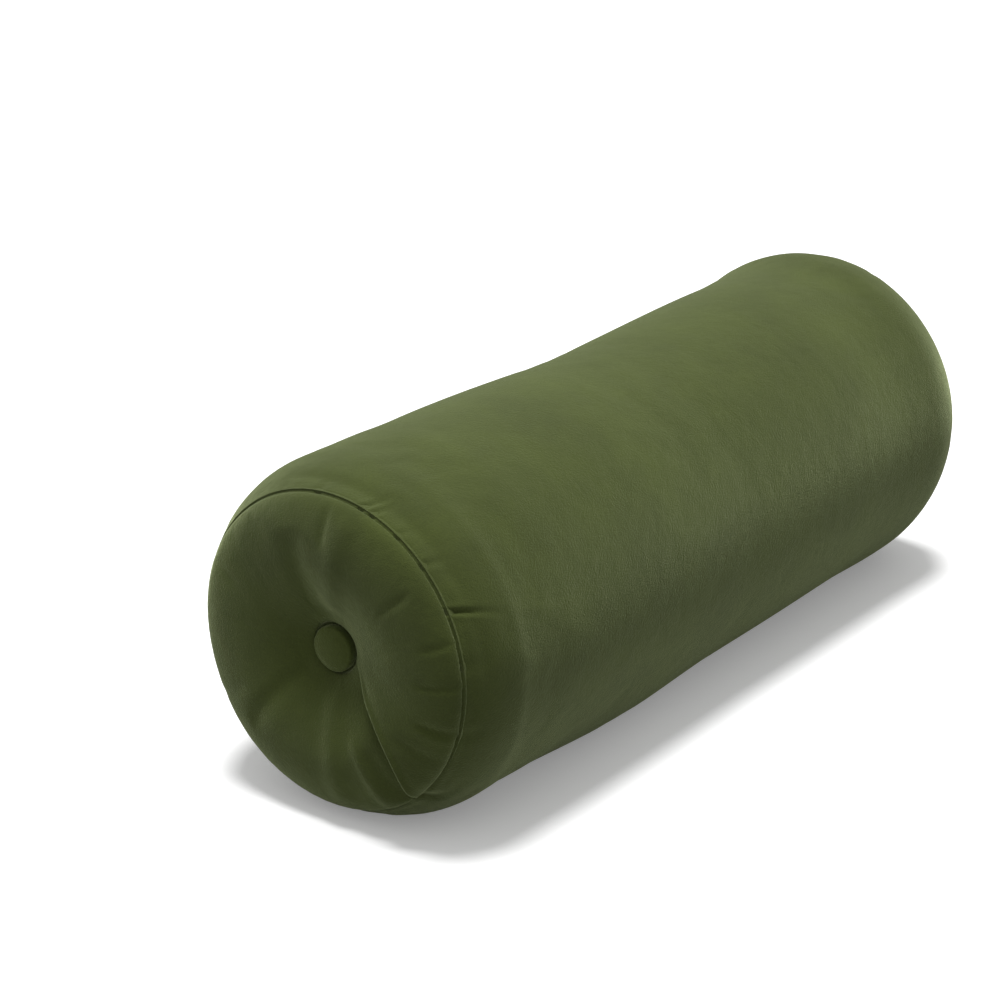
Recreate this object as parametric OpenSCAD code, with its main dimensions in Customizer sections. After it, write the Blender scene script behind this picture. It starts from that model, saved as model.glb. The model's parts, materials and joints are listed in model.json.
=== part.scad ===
// Velvet bolster pillow: a zipped round cover over a wadded foam core, tufted at both ends.
// The long axis lies along X and the pillow rests on its flattened underside at z = 0.

/* [Bolster] */
// Length between the two end seams
seam_len = 504; // [420:2:620]
// Diameter of the round body
body_d = 200; // [190:1:205]
// How far the body settles under its own weight
settle = 6; // [4:0.5:7]
// Diameter of the circle on which an end disc is sewn
seam_d = 172; // [170:1:176]
// Length over which the body narrows to the end seam
shoulder_len = 40; // [38:1:44]
// Thickness of the velvet cover
velvet_t = 1.6; // [1.4:0.1:1.8]

/* [End discs] */
// Height of an end disc's crown beyond its seam
crown_h = 14; // [12:0.5:16]
// Radius at which the crown is highest
crown_r = 52; // [48:1:56]
// Depth of the button's seat below the seam
seat_depth = 5.2; // [4.5:0.1:6]

/* [Buttons] */
// Diameter of a covered button
button_d = 25.4; // [25:0.1:27]
// Rise of a button's dome
dome_h = 3.9; // [3.7:0.1:4.2]
// Diameter of the tufting twine
twine_d = 1.5; // [1.2:0.1:1.6]

/* [Filling] */
// Thickness of the cotton liner
liner_t = 0.6; // [0.4:0.1:0.7]
// Diameter of the foam core
core_d = 170; // [160:1:171]
// Thickness of the wadding over each end of the core
end_wad = 14; // [12:1:18]

/* [Zip] */
// Length of the opening in the cover
slot_len = 380; // [300:2:390]
// Half width of the opening
slot_half = 6.5; // [6.2:0.1:7]
// Width of one tape
tape_w = 15; // [14:0.5:15]
// Length of the pull tab from its hinge
pull_len = 24; // [20:1:28]

/* [Hidden] */
$fn = 144;

body_r = body_d / 2;
seam_r = seam_d / 2;
half_len = seam_len / 2;
axis_z = body_r - settle;
// Clearance between two layers of cloth or filling
gap = 0.2;
far_away = 400;

// Arc of the shoulder, tangent to the body and ending on the seam
drop = body_r - seam_r;
shoulder_r = (pow(shoulder_len, 2) + pow(drop, 2)) / (2 * drop);
// Arc of the crown, from the seam over its highest ring
crown_arc = (pow(seam_r - crown_r, 2) + pow(crown_h, 2)) / (2 * crown_h);
seat_r = button_d / 2 + 1.7;

// Seam allowances turned inside the cover
allow_len = 9;
allow_t = 1.4;
fold_r = seam_r - 0.05;
panel_allow_r = fold_r - gap;
stitch_r = 0.35;
stitches = 72;
stitch_at = 3;

// Inner pad, which clears the seam allowances
pad_gap = velvet_t + gap;
nose_r = panel_allow_r - velvet_t - gap;
nose_step = allow_len + 0.4;

// Button, measured outwards along the axis from the seam plane
button_r = button_d / 2;
button_base = -seat_depth + 0.3;
side_h = 3.4;
dome_r = (pow(button_r, 2) + pow(dome_h, 2)) / (2 * dome_h);
dome_at = button_base + side_h + dome_h - dome_r;
cloth_t = 1;
shell_t = 0.6;
mouth_r = 9.4;
plate_t = 0.5;
plate_at = button_base + cloth_t + shell_t + 0.15;
wire_r = 0.6;
wire_half = 4.1;
foot_len = 3.4;
foot_at = plate_at + plate_t + wire_r + 0.1;
wire_turn = button_base - 4.4;
pierce_r = 5;
core_bore_r = 4.2;

// Twine, which hooks each wire loop like a link of a chain
twine_r = twine_d / 2;
strand_y = 2.4;
twine_turn = wire_turn - wire_half + wire_r + 0.75 + twine_r - strand_y;
knot_r = 3.5;
knot_at = 60;

// Zip along the back of the tube, at the height of the axis
tape_y = 96.1;
tape_t = 0.7;
coil_in = 0.6;
coil_w = 2.4;
coil_t = 2.1;
coil_y = tape_y + tape_t + 0.1;
chain_half = slot_len / 2 - 4;
stop_len = 3;
slider_len = 10;
slider_half = 4.8;
slider_x = chain_half - 10;
plate_y = coil_y + coil_t + 0.4;
slider_plate_t = 1.1;
flange_w = 1.3;
under_y = tape_y - 0.3;
under_t = 0.9;
post_half = 0.35;
bridge_half = 1.3;
bridge_len = 6.8;
bridge_wall = 1;
bridge_h = 2.1;
pull_half = 3;
pull_r = 0.6;
hinge_y = plate_y + slider_plate_t + bridge_h / 2;
eye_len = 4.4;
pad_flat_y = 94;
pad_flat_half = slot_len / 2 + 15;
topstitch_z = 9.5;
topstitch_r = 0.4;
topstitch_end = slot_len / 2 + 4;

velvet = "#5a6438";
cotton = "#e9e4d6";
wadding_white = "#f4f4f0";
foam_yellow = "#efe2b0";
thread_green = "#4c5530";
zip_green = "#59623a";
bright_metal = "#b9bbbd";
twine_white = "#ddd8c8";

// Turns a profile of radius and distance along the axis into a solid along +X
module about_x() {
    translate([0, 0, axis_z]) rotate([0, 90, 0]) rotate_extrude() children();
}

// Places an end's own solid, built outwards from the seam plane, on the near or the far end
module at_end(side) {
    translate([side * half_len, 0, 0]) mirror([side < 0 ? 1 : 0, 0, 0]) children();
}

// Keeps what lies above the settled underside, inset by a layer's depth
module settled(inset) {
    intersection() {
        children();
        translate([-far_away, -far_away, inset]) cube([2 * far_away, 2 * far_away, far_away]);
    }
}

// Half of the body's outline, inset by a layer's depth, from the middle to the seam plane
module body_half(inset) {
    flat_to = half_len - shoulder_len;
    square([body_r - inset, flat_to]);
    intersection() {
        translate([body_r - shoulder_r, flat_to]) circle(r = shoulder_r - inset);
        translate([0, flat_to]) square([body_r, shoulder_len]);
    }
}

// An end disc's outline, inset by a layer's depth, measured outwards from the seam plane
module end_outline(inset) {
    difference() {
        intersection() {
            translate([crown_r, crown_h - crown_arc]) circle(r = crown_arc - inset);
            translate([0, -allow_len * 3]) square([nose_r + 4, allow_len * 3 + crown_h]);
        }
        translate([0, -seat_depth - inset]) square([seat_r + inset, 3 * crown_h]);
    }
    translate([0, -allow_len * 3]) square([seat_r + inset + 1, allow_len * 3 - seat_depth - inset]);
}

// Half of the inner pad's outline: the body, stepped in past the seam allowances, with its dimpled end
module pad_half(inset) {
    intersection() {
        body_half(pad_gap + inset);
        square([body_r, half_len - nose_step - inset]);
    }
    intersection() {
        translate([0, half_len]) end_outline(pad_gap + inset);
        square([nose_r - inset, half_len + crown_h]);
    }
}

module both_halves() {
    children();
    mirror([0, 1]) children();
}

// Room in the inner pad for the back of the zip
module zip_room(inset) {
    reach = pad_flat_half + inset;
    translate([-reach, pad_flat_y - inset, axis_z - body_r])
        cube([2 * reach, body_r, 2 * body_r]);
}

module cover_tube() {
    color(velvet) difference() {
        settled(0) about_x() both_halves() {
            difference() {
                body_half(0);
                body_half(velvet_t);
                square([fold_r, half_len + 1]);
            }
            translate([fold_r, half_len - allow_len]) square([allow_t, allow_len - 1]);
        }
        translate([-slot_len / 2, 0, axis_z - slot_half]) cube([slot_len, body_d, 2 * slot_half]);
    }
    color(velvet) settled_sole();
}

// The part of the cover that lies on the floor, where the body has settled
module settled_sole() {
    intersection() {
        about_x() both_halves() intersection() {
            body_half(0);
            square([body_r, half_len]);
        }
        translate([-half_len, -body_r, 0]) cube([seam_len, body_d, velvet_t]);
    }
}

module end_panel(side) {
    color(velvet) at_end(side) about_x() {
        difference() {
            intersection() {
                end_outline(0);
                square([seam_r, crown_h + 1]);
            }
            end_outline(velvet_t);
        }
        intersection() {
            difference() {
                end_outline(0);
                end_outline(velvet_t);
            }
            translate([pierce_r, -2 * seat_depth]) square([seam_r - 20, 2 * seat_depth]);
        }
        translate([panel_allow_r - velvet_t, -allow_len]) square([velvet_t, allow_len + 0.2]);
    }
}

module end_panel_near() { end_panel(-1); }
module end_panel_far() { end_panel(1); }

module seam_thread(side) {
    color(thread_green) at_end(side) translate([-stitch_at, 0, axis_z])
        for (i = [0 : stitches - 1]) rotate([360 * i / stitches, 0, 0])
            translate([0, 0, panel_allow_r - velvet_t - 0.1])
                cylinder(r = stitch_r, h = velvet_t + gap + allow_t + 0.4, $fn = 16);
}

module seam_thread_near() { seam_thread(-1); }
module seam_thread_far() { seam_thread(1); }

// Outline of a covered button, inset by a layer's depth
module button_outline(inset) {
    intersection() {
        translate([0, dome_at]) circle(r = dome_r - inset);
        translate([0, button_base + inset]) square([button_r - inset, side_h + dome_h + 1]);
    }
}

module button_layer(side, outer, thickness, mouth) {
    at_end(side) about_x() difference() {
        button_outline(outer);
        button_outline(outer + thickness);
        translate([0, button_base - 1]) square([mouth, 2 + outer + thickness]);
    }
}

module button_cloth_near() { color(velvet) button_layer(-1, 0, cloth_t, mouth_r); }
module button_cloth_far() { color(velvet) button_layer(1, 0, cloth_t, mouth_r); }
module button_shell_near() { color(bright_metal) button_layer(-1, cloth_t + 0.05, shell_t, mouth_r + 0.3); }
module button_shell_far() { color(bright_metal) button_layer(1, cloth_t + 0.05, shell_t, mouth_r + 0.3); }

module button_back(side) {
    color(bright_metal) at_end(side) translate([plate_at, 0, axis_z]) difference() {
        rotate([0, 90, 0]) cylinder(r = button_r - cloth_t - shell_t - 0.25, h = plate_t);
        for (z = [-wire_half, wire_half]) translate([-1, 0, z]) rotate([0, 90, 0])
            cylinder(r = wire_r + 0.1, h = plate_t + 2, $fn = 32);
    }
}

module button_back_near() { button_back(-1); }
module button_back_far() { button_back(1); }

// Wire shank: two feet inside the button, two legs and a round eye behind it
module button_loop(side) {
    color(bright_metal) at_end(side) translate([0, 0, axis_z]) {
        for (turn = [0, 180]) rotate([turn, 0, 0]) {
            translate([wire_turn, 0, wire_half]) rotate([0, 90, 0])
                cylinder(r = wire_r, h = foot_at - wire_turn, $fn = 32);
            translate([foot_at, 0, wire_half]) sphere(r = wire_r, $fn = 32);
            translate([foot_at, 0, wire_half]) cylinder(r = wire_r, h = foot_len, $fn = 32);
        }
        translate([wire_turn, 0, 0]) rotate([90, 0, 0]) rotate([0, 0, 90])
            rotate_extrude(angle = 180) translate([wire_half, 0]) circle(r = wire_r, $fn = 32);
    }
}

module button_loop_near() { button_loop(-1); }
module button_loop_far() { button_loop(1); }

// One closed length of twine: two strands through the core, a turn through each shank and a knot
module tufting_twine() {
    turn_x = half_len + twine_turn;
    color(twine_white) translate([0, 0, axis_z]) {
        for (y = [-strand_y, strand_y]) translate([-turn_x, y, 0]) rotate([0, 90, 0])
            cylinder(r = twine_r, h = 2 * turn_x, $fn = 32);
        for (turn = [0, 180]) rotate([0, 0, turn]) translate([turn_x, 0, 0]) rotate([0, 0, -90])
            rotate_extrude(angle = 180) translate([strand_y, 0]) circle(r = twine_r, $fn = 32);
        translate([half_len - knot_at, 0, 0]) sphere(r = knot_r, $fn = 48);
    }
}

module zip_tape(side) {
    z = side > 0 ? coil_in : -coil_in - tape_w;
    color(zip_green) translate([-slot_len / 2 - 10, tape_y, axis_z + z])
        cube([slot_len + 20, tape_t, tape_w]);
}

module zip_tape_upper() { zip_tape(1); }
module zip_tape_lower() { zip_tape(-1); }

module zip_coil(side) {
    z = side > 0 ? coil_in : -coil_in - coil_w;
    color(zip_green) translate([-chain_half, coil_y, axis_z + z])
        cube([2 * chain_half, coil_t, coil_w]);
}

module zip_coil_upper() { zip_coil(1); }
module zip_coil_lower() { zip_coil(-1); }

// Slider: two plates joined by a thin post between the coils, with guides and a bridge for the pull
module zip_slider() {
    bridge_y = plate_y + slider_plate_t;
    color(bright_metal) translate([slider_x, 0, axis_z]) {
        translate([-slider_len / 2, plate_y, -slider_half])
            cube([slider_len, slider_plate_t, 2 * slider_half]);
        translate([-slider_len / 2, under_y - under_t, -slider_half])
            cube([slider_len, under_t, 2 * slider_half]);
        translate([slider_len / 2 - 3.4, under_y - 0.1, -post_half])
            cube([3, plate_y - under_y + 0.2, 2 * post_half]);
        for (z = [-slider_half, slider_half - flange_w])
            translate([-slider_len / 2, tape_y + tape_t + 0.3, z])
                cube([slider_len, plate_y - tape_y - tape_t, flange_w]);
        difference() {
            translate([-bridge_len / 2, bridge_y - 0.1, -bridge_half])
                cube([bridge_len, bridge_h + bridge_wall, 2 * bridge_half]);
            translate([bridge_wall - bridge_len / 2, bridge_y, -2 * bridge_half])
                cube([bridge_len - 2 * bridge_wall, bridge_h, 4 * bridge_half]);
        }
    }
}

// Pull: a flat tab with an eye that goes round the slider's bridge, lying back over the closed coil
module zip_pull() {
    arm_w = pull_half - bridge_half - 0.4;
    color(bright_metal) translate([slider_x, hinge_y, axis_z]) {
        translate([0, 0, -pull_half]) cylinder(r = pull_r, h = 2 * pull_half, $fn = 32);
        for (z = [-pull_half, pull_half - arm_w])
            translate([-eye_len, -pull_r, z]) cube([eye_len, 2 * pull_r, arm_w]);
        translate([-pull_len + pull_half, -pull_r, -pull_half])
            cube([pull_len - pull_half - eye_len, 2 * pull_r, 2 * pull_half]);
        translate([-pull_len + pull_half, pull_r, 0]) rotate([90, 0, 0])
            cylinder(r = pull_half, h = 2 * pull_r);
    }
}

module zip_top_stops() {
    color(bright_metal) for (z = [coil_in - 0.1, -coil_in - coil_w - 0.3])
        translate([chain_half + 0.1, tape_y + tape_t, axis_z + z])
            cube([stop_len, coil_t + 0.3, coil_w + 0.4]);
}

module zip_bottom_stop() {
    color(bright_metal) translate([-chain_half - stop_len - 0.1, tape_y + tape_t, axis_z - coil_w - 1])
        cube([stop_len, coil_t + 0.3, 2 * coil_w + 2]);
}

// Topstitching: a frame of thread round the opening, drawn down into the pile
module zip_thread() {
    row_y = sqrt(pow(body_r, 2) - pow(topstitch_z, 2)) - 0.1;
    color(thread_green) translate([0, row_y, axis_z]) {
        for (z = [-topstitch_z, topstitch_z]) translate([-topstitch_end, 0, z]) rotate([0, 90, 0])
            cylinder(r = topstitch_r, h = 2 * topstitch_end, $fn = 24);
        for (x = [-topstitch_end, topstitch_end]) translate([x, 0, -topstitch_z]) {
            cylinder(r = topstitch_r, h = 2 * topstitch_z, $fn = 24);
            sphere(r = topstitch_r, $fn = 24);
            translate([0, 0, 2 * topstitch_z]) sphere(r = topstitch_r, $fn = 24);
        }
    }
}

// The inner pad as one solid, inset by a layer's depth
module pad(inset) {
    difference() {
        settled(pad_gap + inset) about_x() both_halves() pad_half(inset);
        zip_room(inset);
    }
}

// A cylinder along X through the whole pillow
module through(r) {
    translate([-far_away, 0, axis_z]) rotate([0, 90, 0]) cylinder(r = r, h = 2 * far_away);
}

// What lies beyond a distance from the middle, at one end
module beyond(side, from) {
    translate([side > 0 ? from : -far_away, -far_away, -far_away])
        cube([far_away - from, 2 * far_away, 2 * far_away]);
}

liner_split = nose_r - 4;

module liner_tube() {
    color(cotton) difference() {
        pad(0);
        pad(liner_t);
        through(liner_split);
    }
}

module liner_end(side) {
    color(cotton) intersection() {
        difference() {
            pad(0);
            pad(liner_t);
            through(pierce_r);
        }
        through(liner_split - 0.05);
        beyond(side, half_len / 2);
    }
}

module liner_end_near() { liner_end(-1); }
module liner_end_far() { liner_end(1); }

module wadding_wrap() {
    color(wadding_white) difference() {
        pad(liner_t + gap);
        through(core_d / 2 + gap);
    }
}

module wadding_end(side) {
    color(wadding_white) intersection() {
        difference() {
            pad(liner_t + gap);
            through(pierce_r + 0.4);
        }
        through(core_d / 2 - 2);
        beyond(side, half_len - end_wad - seat_depth);
    }
}

module wadding_end_near() { wadding_end(-1); }
module wadding_end_far() { wadding_end(1); }

module foam_core() {
    core_half = half_len - end_wad - seat_depth - gap;
    color(foam_yellow) translate([-core_half, 0, axis_z]) rotate([0, 90, 0]) difference() {
        cylinder(r = core_d / 2, h = 2 * core_half);
        translate([0, 0, -1]) cylinder(r = core_bore_r, h = 2 * core_half + 2);
    }
}

cover_tube();
end_panel_near();
end_panel_far();
seam_thread_near();
seam_thread_far();
button_cloth_near();
button_shell_near();
button_back_near();
button_loop_near();
button_cloth_far();
button_shell_far();
button_back_far();
button_loop_far();
tufting_twine();
zip_tape_upper();
zip_tape_lower();
zip_coil_upper();
zip_coil_lower();
zip_slider();
zip_pull();
zip_top_stops();
zip_bottom_stop();
zip_thread();
liner_tube();
liner_end_near();
liner_end_far();
wadding_wrap();
wadding_end_near();
wadding_end_far();
foam_core();
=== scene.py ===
"""Velvet bolster pillow: soft cover, filling, end buttons and zip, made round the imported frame."""

import json
import logging
import math
from collections.abc import Callable
from dataclasses import dataclass, field
from enum import Enum

import bpy
import numpy as np
from mathutils import Matrix, Vector


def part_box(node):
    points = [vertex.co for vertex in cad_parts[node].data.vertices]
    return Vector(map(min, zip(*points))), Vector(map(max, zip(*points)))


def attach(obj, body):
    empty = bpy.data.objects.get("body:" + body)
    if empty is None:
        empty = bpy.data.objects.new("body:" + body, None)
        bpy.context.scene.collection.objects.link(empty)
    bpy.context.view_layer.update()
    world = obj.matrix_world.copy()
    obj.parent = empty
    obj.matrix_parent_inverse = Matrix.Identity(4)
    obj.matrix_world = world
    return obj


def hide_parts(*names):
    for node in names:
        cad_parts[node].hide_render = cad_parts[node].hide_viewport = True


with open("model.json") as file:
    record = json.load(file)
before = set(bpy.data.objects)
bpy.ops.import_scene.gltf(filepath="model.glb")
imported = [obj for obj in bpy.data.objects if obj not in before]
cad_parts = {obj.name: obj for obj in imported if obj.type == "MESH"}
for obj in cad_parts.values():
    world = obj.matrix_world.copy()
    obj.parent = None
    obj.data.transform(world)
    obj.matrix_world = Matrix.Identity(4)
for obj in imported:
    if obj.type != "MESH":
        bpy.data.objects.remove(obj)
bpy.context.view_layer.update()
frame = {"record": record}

log = logging.getLogger("bolster")

MM = 0.001
SEED = 7


class End(Enum):
    """The two ends of the bolster: which way each faces along X."""

    NEAR = -1
    FAR = 1

    @property
    def label(self) -> str:
        """The end's name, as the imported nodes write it."""
        return self.name.lower()


class Layer(Enum):
    """The soft layers from the outside in: how deep each one's outer face lies, in metres."""

    LINER = 1.8 * MM
    WADDING = 2.6 * MM


# ---------------------------------------------------------------------------------------------
# Modelling by hand: short wrappers round the operators
# ---------------------------------------------------------------------------------------------


def select_only(piece: bpy.types.Object) -> None:
    """Makes a piece the only selected object and the active one."""
    bpy.ops.object.select_all(action="DESELECT")
    piece.select_set(True)
    bpy.context.view_layer.objects.active = piece


def named(piece: bpy.types.Object, name: str) -> bpy.types.Object:
    """Names a piece and its mesh.

    Args:
        piece: The piece to name.
        name: Its new name.

    Returns:
        The same piece.
    """
    piece.name = name
    piece.data.name = name
    return piece


def settle_place(piece: bpy.types.Object) -> None:
    """Moves a piece's place, turn and scale into its mesh, so its object sits at the origin."""
    select_only(piece)
    bpy.ops.object.transform_apply(location=True, rotation=True, scale=True)


def add_modifier(piece: bpy.types.Object, kind: str, **settings: object) -> None:
    """Adds a modifier, sets it and applies it.

    Args:
        piece: The piece that takes the modifier.
        kind: The modifier's type, such as "SOLIDIFY".
        settings: The modifier's settings by name.
    """
    select_only(piece)
    modifier = piece.modifiers.new(kind.title(), kind)
    for key, value in settings.items():
        setattr(modifier, key, value)
    bpy.ops.object.modifier_apply(modifier=modifier.name)


def close_up(piece: bpy.types.Object, distance: float = 1e-6) -> None:
    """Merges a mesh's doubled points and turns its faces outwards.

    Args:
        piece: The piece to mend.
        distance: Points nearer than this are merged, in metres.
    """
    select_only(piece)
    bpy.ops.object.mode_set(mode="EDIT")
    bpy.ops.mesh.select_all(action="SELECT")
    bpy.ops.mesh.remove_doubles(threshold=distance)
    bpy.ops.mesh.normals_make_consistent(inside=False)
    bpy.ops.object.mode_set(mode="OBJECT")


def choose_faces(piece: bpy.types.Object, wanted: Callable[[bpy.types.MeshPolygon], bool]) -> None:
    """Selects only the faces that pass a test and leaves the piece in edit mode.

    Args:
        piece: The piece to select on.
        wanted: The test for each face.
    """
    select_only(piece)
    bpy.ops.object.mode_set(mode="EDIT")
    bpy.ops.mesh.select_all(action="DESELECT")
    bpy.ops.mesh.select_mode(type="FACE")
    bpy.ops.object.mode_set(mode="OBJECT")
    for face in piece.data.polygons:
        face.select = wanted(face)
    bpy.ops.object.mode_set(mode="EDIT")


def thicken(piece: bpy.types.Object, thickness: float) -> None:
    """Gives a sheet its thickness, all of it inwards from the outer face."""
    add_modifier(piece, "SOLIDIFY", thickness=thickness, offset=-1.0, use_even_offset=False)


def smooth(piece: bpy.types.Object, angle_deg: float | None = None) -> None:
    """Shades a piece smooth, with edges sharper than an angle left crisp.

    Args:
        piece: The piece to shade.
        angle_deg: The angle past which an edge stays crisp, or None for a wholly smooth piece.
    """
    select_only(piece)
    if angle_deg is None:
        bpy.ops.object.shade_smooth()
    else:
        bpy.ops.object.shade_smooth_by_angle(angle=math.radians(angle_deg))


def copies(pattern: bpy.types.Object, places: list[Matrix], name: str) -> bpy.types.Object:
    """Copies a modelled pattern to many places and joins the copies as one piece.

    Args:
        pattern: The piece to repeat, modelled at the origin. It is used up.
        places: Where each copy goes.
        name: The joined piece's name.

    Returns:
        One piece that holds every copy.
    """
    bpy.ops.object.select_all(action="DESELECT")
    for place in places:
        copy = pattern.copy()
        copy.data = pattern.data.copy()
        copy.data.transform(place)
        bpy.context.scene.collection.objects.link(copy)
        copy.select_set(True)
        bpy.context.view_layer.objects.active = copy
    bpy.ops.object.join()
    bpy.data.objects.remove(pattern)
    return named(bpy.context.view_layer.objects.active, name)


def joined(parts: list[bpy.types.Object], name: str) -> bpy.types.Object:
    """Joins modelled parts as one named piece with its place in its mesh."""
    bpy.ops.object.select_all(action="DESELECT")
    for part in parts:
        part.select_set(True)
    bpy.context.view_layer.objects.active = parts[0]
    if len(parts) > 1:
        bpy.ops.object.join()
    piece = named(bpy.context.view_layer.objects.active, name)
    settle_place(piece)
    return piece


def cloth_from_rows(
    rows: np.ndarray,
    name: str,
    around: bool = True,
    caps: tuple[bool, bool] = (False, False),
    looped: bool = False,
) -> bpy.types.Object:
    """Makes a cloth whose points lie in rows.

    Args:
        rows: Places of shape (rows, points in a row, 3), in metres.
        name: The piece's name.
        around: Whether each row closes on itself.
        caps: Whether the first and the last row are closed over with a fan.
        looped: Whether the last row joins the first.

    Returns:
        The new piece.
    """
    down, across = rows.shape[:2]
    points = [tuple(point) for point in rows.reshape(-1, 3)]
    spans = [(j, (j + 1) % across) for j in range(across if around else across - 1)]
    steps = [(i, (i + 1) % down) for i in range(down if looped else down - 1)]
    faces = [
        (i * across + j, i * across + k, n * across + k, n * across + j)
        for i, n in steps
        for j, k in spans
    ]
    for closed, row, flip in ((caps[0], 0, True), (caps[1], down - 1, False)):
        if closed:
            points.append(tuple(rows[row].mean(axis=0)))
            pole = len(points) - 1
            for j, k in spans:
                edge = (row * across + j, row * across + k)
                faces.append((*(edge[::-1] if flip else edge), pole))
    mesh = bpy.data.meshes.new(name)
    mesh.from_pydata(points, [], faces)
    piece = bpy.data.objects.new(name, mesh)
    bpy.context.scene.collection.objects.link(piece)
    return piece


def mesh_points(piece: bpy.types.Object) -> np.ndarray:
    """A piece's points, as shown with its modifiers, of shape (points, 3)."""
    shown = piece.evaluated_get(bpy.context.evaluated_depsgraph_get())
    points = np.zeros(len(shown.data.vertices) * 3)
    shown.data.vertices.foreach_get("co", points)
    return points.reshape(-1, 3)


# ---------------------------------------------------------------------------------------------
# Finishes
# ---------------------------------------------------------------------------------------------


class Graph:
    """A material's node graph, with short ways to add and join nodes."""

    def __init__(self, name: str) -> None:
        """Starts a material of this name with an empty Principled surface."""
        self.material = bpy.data.materials.new(name)
        self.material.use_nodes = True
        self.nodes = self.material.node_tree.nodes
        self.links = self.material.node_tree.links
        self.surface = self.nodes["Principled BSDF"]
        self.place = self.add("ShaderNodeTexCoord").outputs["Object"]

    def add(self, kind: str, **values: object) -> bpy.types.Node:
        """Adds a node and sets its properties and inputs.

        Args:
            kind: The node's type.
            values: Properties by name, or inputs by name with spaces as underscores. A value
                that is an output socket is linked.

        Returns:
            The new node.
        """
        node = self.nodes.new(kind)
        for key, value in values.items():
            if hasattr(node, key):
                setattr(node, key, value)
                continue
            numbered = key.startswith("in") and key[2:].isdigit()
            socket = node.inputs[int(key[2:]) if numbered else key.replace("_", " ")]
            if isinstance(value, bpy.types.NodeSocket):
                self.links.new(value, socket)
            else:
                socket.default_value = value
        return node

    def noise(
        self, scale: float, detail: float = 2.0, roughness: float = 0.5
    ) -> bpy.types.NodeSocket:
        """A noise pattern on the piece's own place, from 0 to 1."""
        return self.add(
            "ShaderNodeTexNoise", Vector=self.place, Scale=scale, Detail=detail, Roughness=roughness
        ).outputs["Fac"]

    def waves(self, scale: float, axis: str, distortion: float = 0.0) -> bpy.types.NodeSocket:
        """Even bands across one axis, from 0 to 1, such as threads."""
        return self.add(
            "ShaderNodeTexWave",
            wave_type="BANDS",
            bands_direction=axis,
            Vector=self.place,
            Scale=scale,
            Distortion=distortion,
        ).outputs["Fac"]

    def math(self, operation: str, a: object, b: object = 0.0) -> bpy.types.NodeSocket:
        """One sum of two values or outputs."""
        return self.add("ShaderNodeMath", operation=operation, in0=a, in1=b).outputs[0]

    def ramp(
        self, factor: bpy.types.NodeSocket, stops: list[tuple[float, tuple]]
    ) -> bpy.types.NodeSocket:
        """Colours along a factor, from a list of (position, colour)."""
        node = self.add("ShaderNodeValToRGB", Fac=factor)
        band = node.color_ramp
        while len(band.elements) < len(stops):
            band.elements.new(0.5)
        for element, (position, colour) in zip(band.elements, stops):
            element.position = position
            element.color = (*colour, 1.0)
        return node.outputs["Color"]

    def bump(self, height: bpy.types.NodeSocket, distance: float, strength: float = 1.0) -> None:
        """Raises the surface by a height pattern, in metres."""
        node = self.add("ShaderNodeBump", Height=height, Distance=distance, Strength=strength)
        self.links.new(node.outputs["Normal"], self.surface.inputs["Normal"])

    def colour(self, source: bpy.types.NodeSocket) -> None:
        """Links the surface's base colour."""
        self.links.new(source, self.surface.inputs["Base Color"])

    def set(self, **values: object) -> None:
        """Sets constants straight on the surface's own sockets, with spaces as underscores."""
        for key, value in values.items():
            self.surface.inputs[key.replace("_", " ")].default_value = value


def shade(colour: tuple, factor: float) -> tuple:
    """A colour made darker or lighter."""
    return tuple(min(1.0, channel * factor) for channel in colour)


@dataclass(frozen=True)
class Velvet:
    """Short brushed pile: dark when seen straight on and pale at a grazing angle."""

    name: str
    colour: tuple[float, float, float]
    sheen: float = 0.85
    sheen_tint: tuple[float, float, float] = (0.64, 0.73, 0.39)
    pile_m: float = 0.0004
    nap: float = 11.0
    patch: float = 38.0
    brush: float = 70.0
    fibre: float = 900.0
    tips: float = 1700.0

    def material(self) -> bpy.types.Material:
        """The velvet's material: clouded nap, fine pile and a soft sheen."""
        g = Graph(self.name)
        nap = g.noise(self.nap, 3.0, 0.55)
        patch = g.noise(self.patch, 3.0, 0.6)
        fibre = g.noise(self.fibre, 2.0, 0.65)
        cloud = g.math("ADD", g.math("MULTIPLY", nap, 0.5), g.math("MULTIPLY", patch, 0.26))
        tone = g.math("ADD", cloud, g.math("MULTIPLY", fibre, 0.24))
        dark, pale = shade(self.colour, 0.8), shade(self.colour, 1.22)
        g.colour(g.ramp(tone, [(0.36, dark), (0.5, self.colour), (0.64, pale)]))
        rough = g.math("ADD", g.math("MULTIPLY", patch, 0.12), 0.8)
        g.links.new(rough, g.surface.inputs["Roughness"])
        tips = g.noise(self.tips, 2.0, 0.6)
        brushed = g.math("MULTIPLY", g.noise(self.brush, 2.0, 0.5), 1.6)
        g.bump(g.math("ADD", g.math("ADD", fibre, tips), brushed), self.pile_m, 0.75)
        g.set(
            Specular_IOR_Level=0.22,
            Sheen_Weight=self.sheen,
            Sheen_Roughness=0.42,
            Sheen_Tint=(*self.sheen_tint, 1.0),
        )
        return g.material


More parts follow.
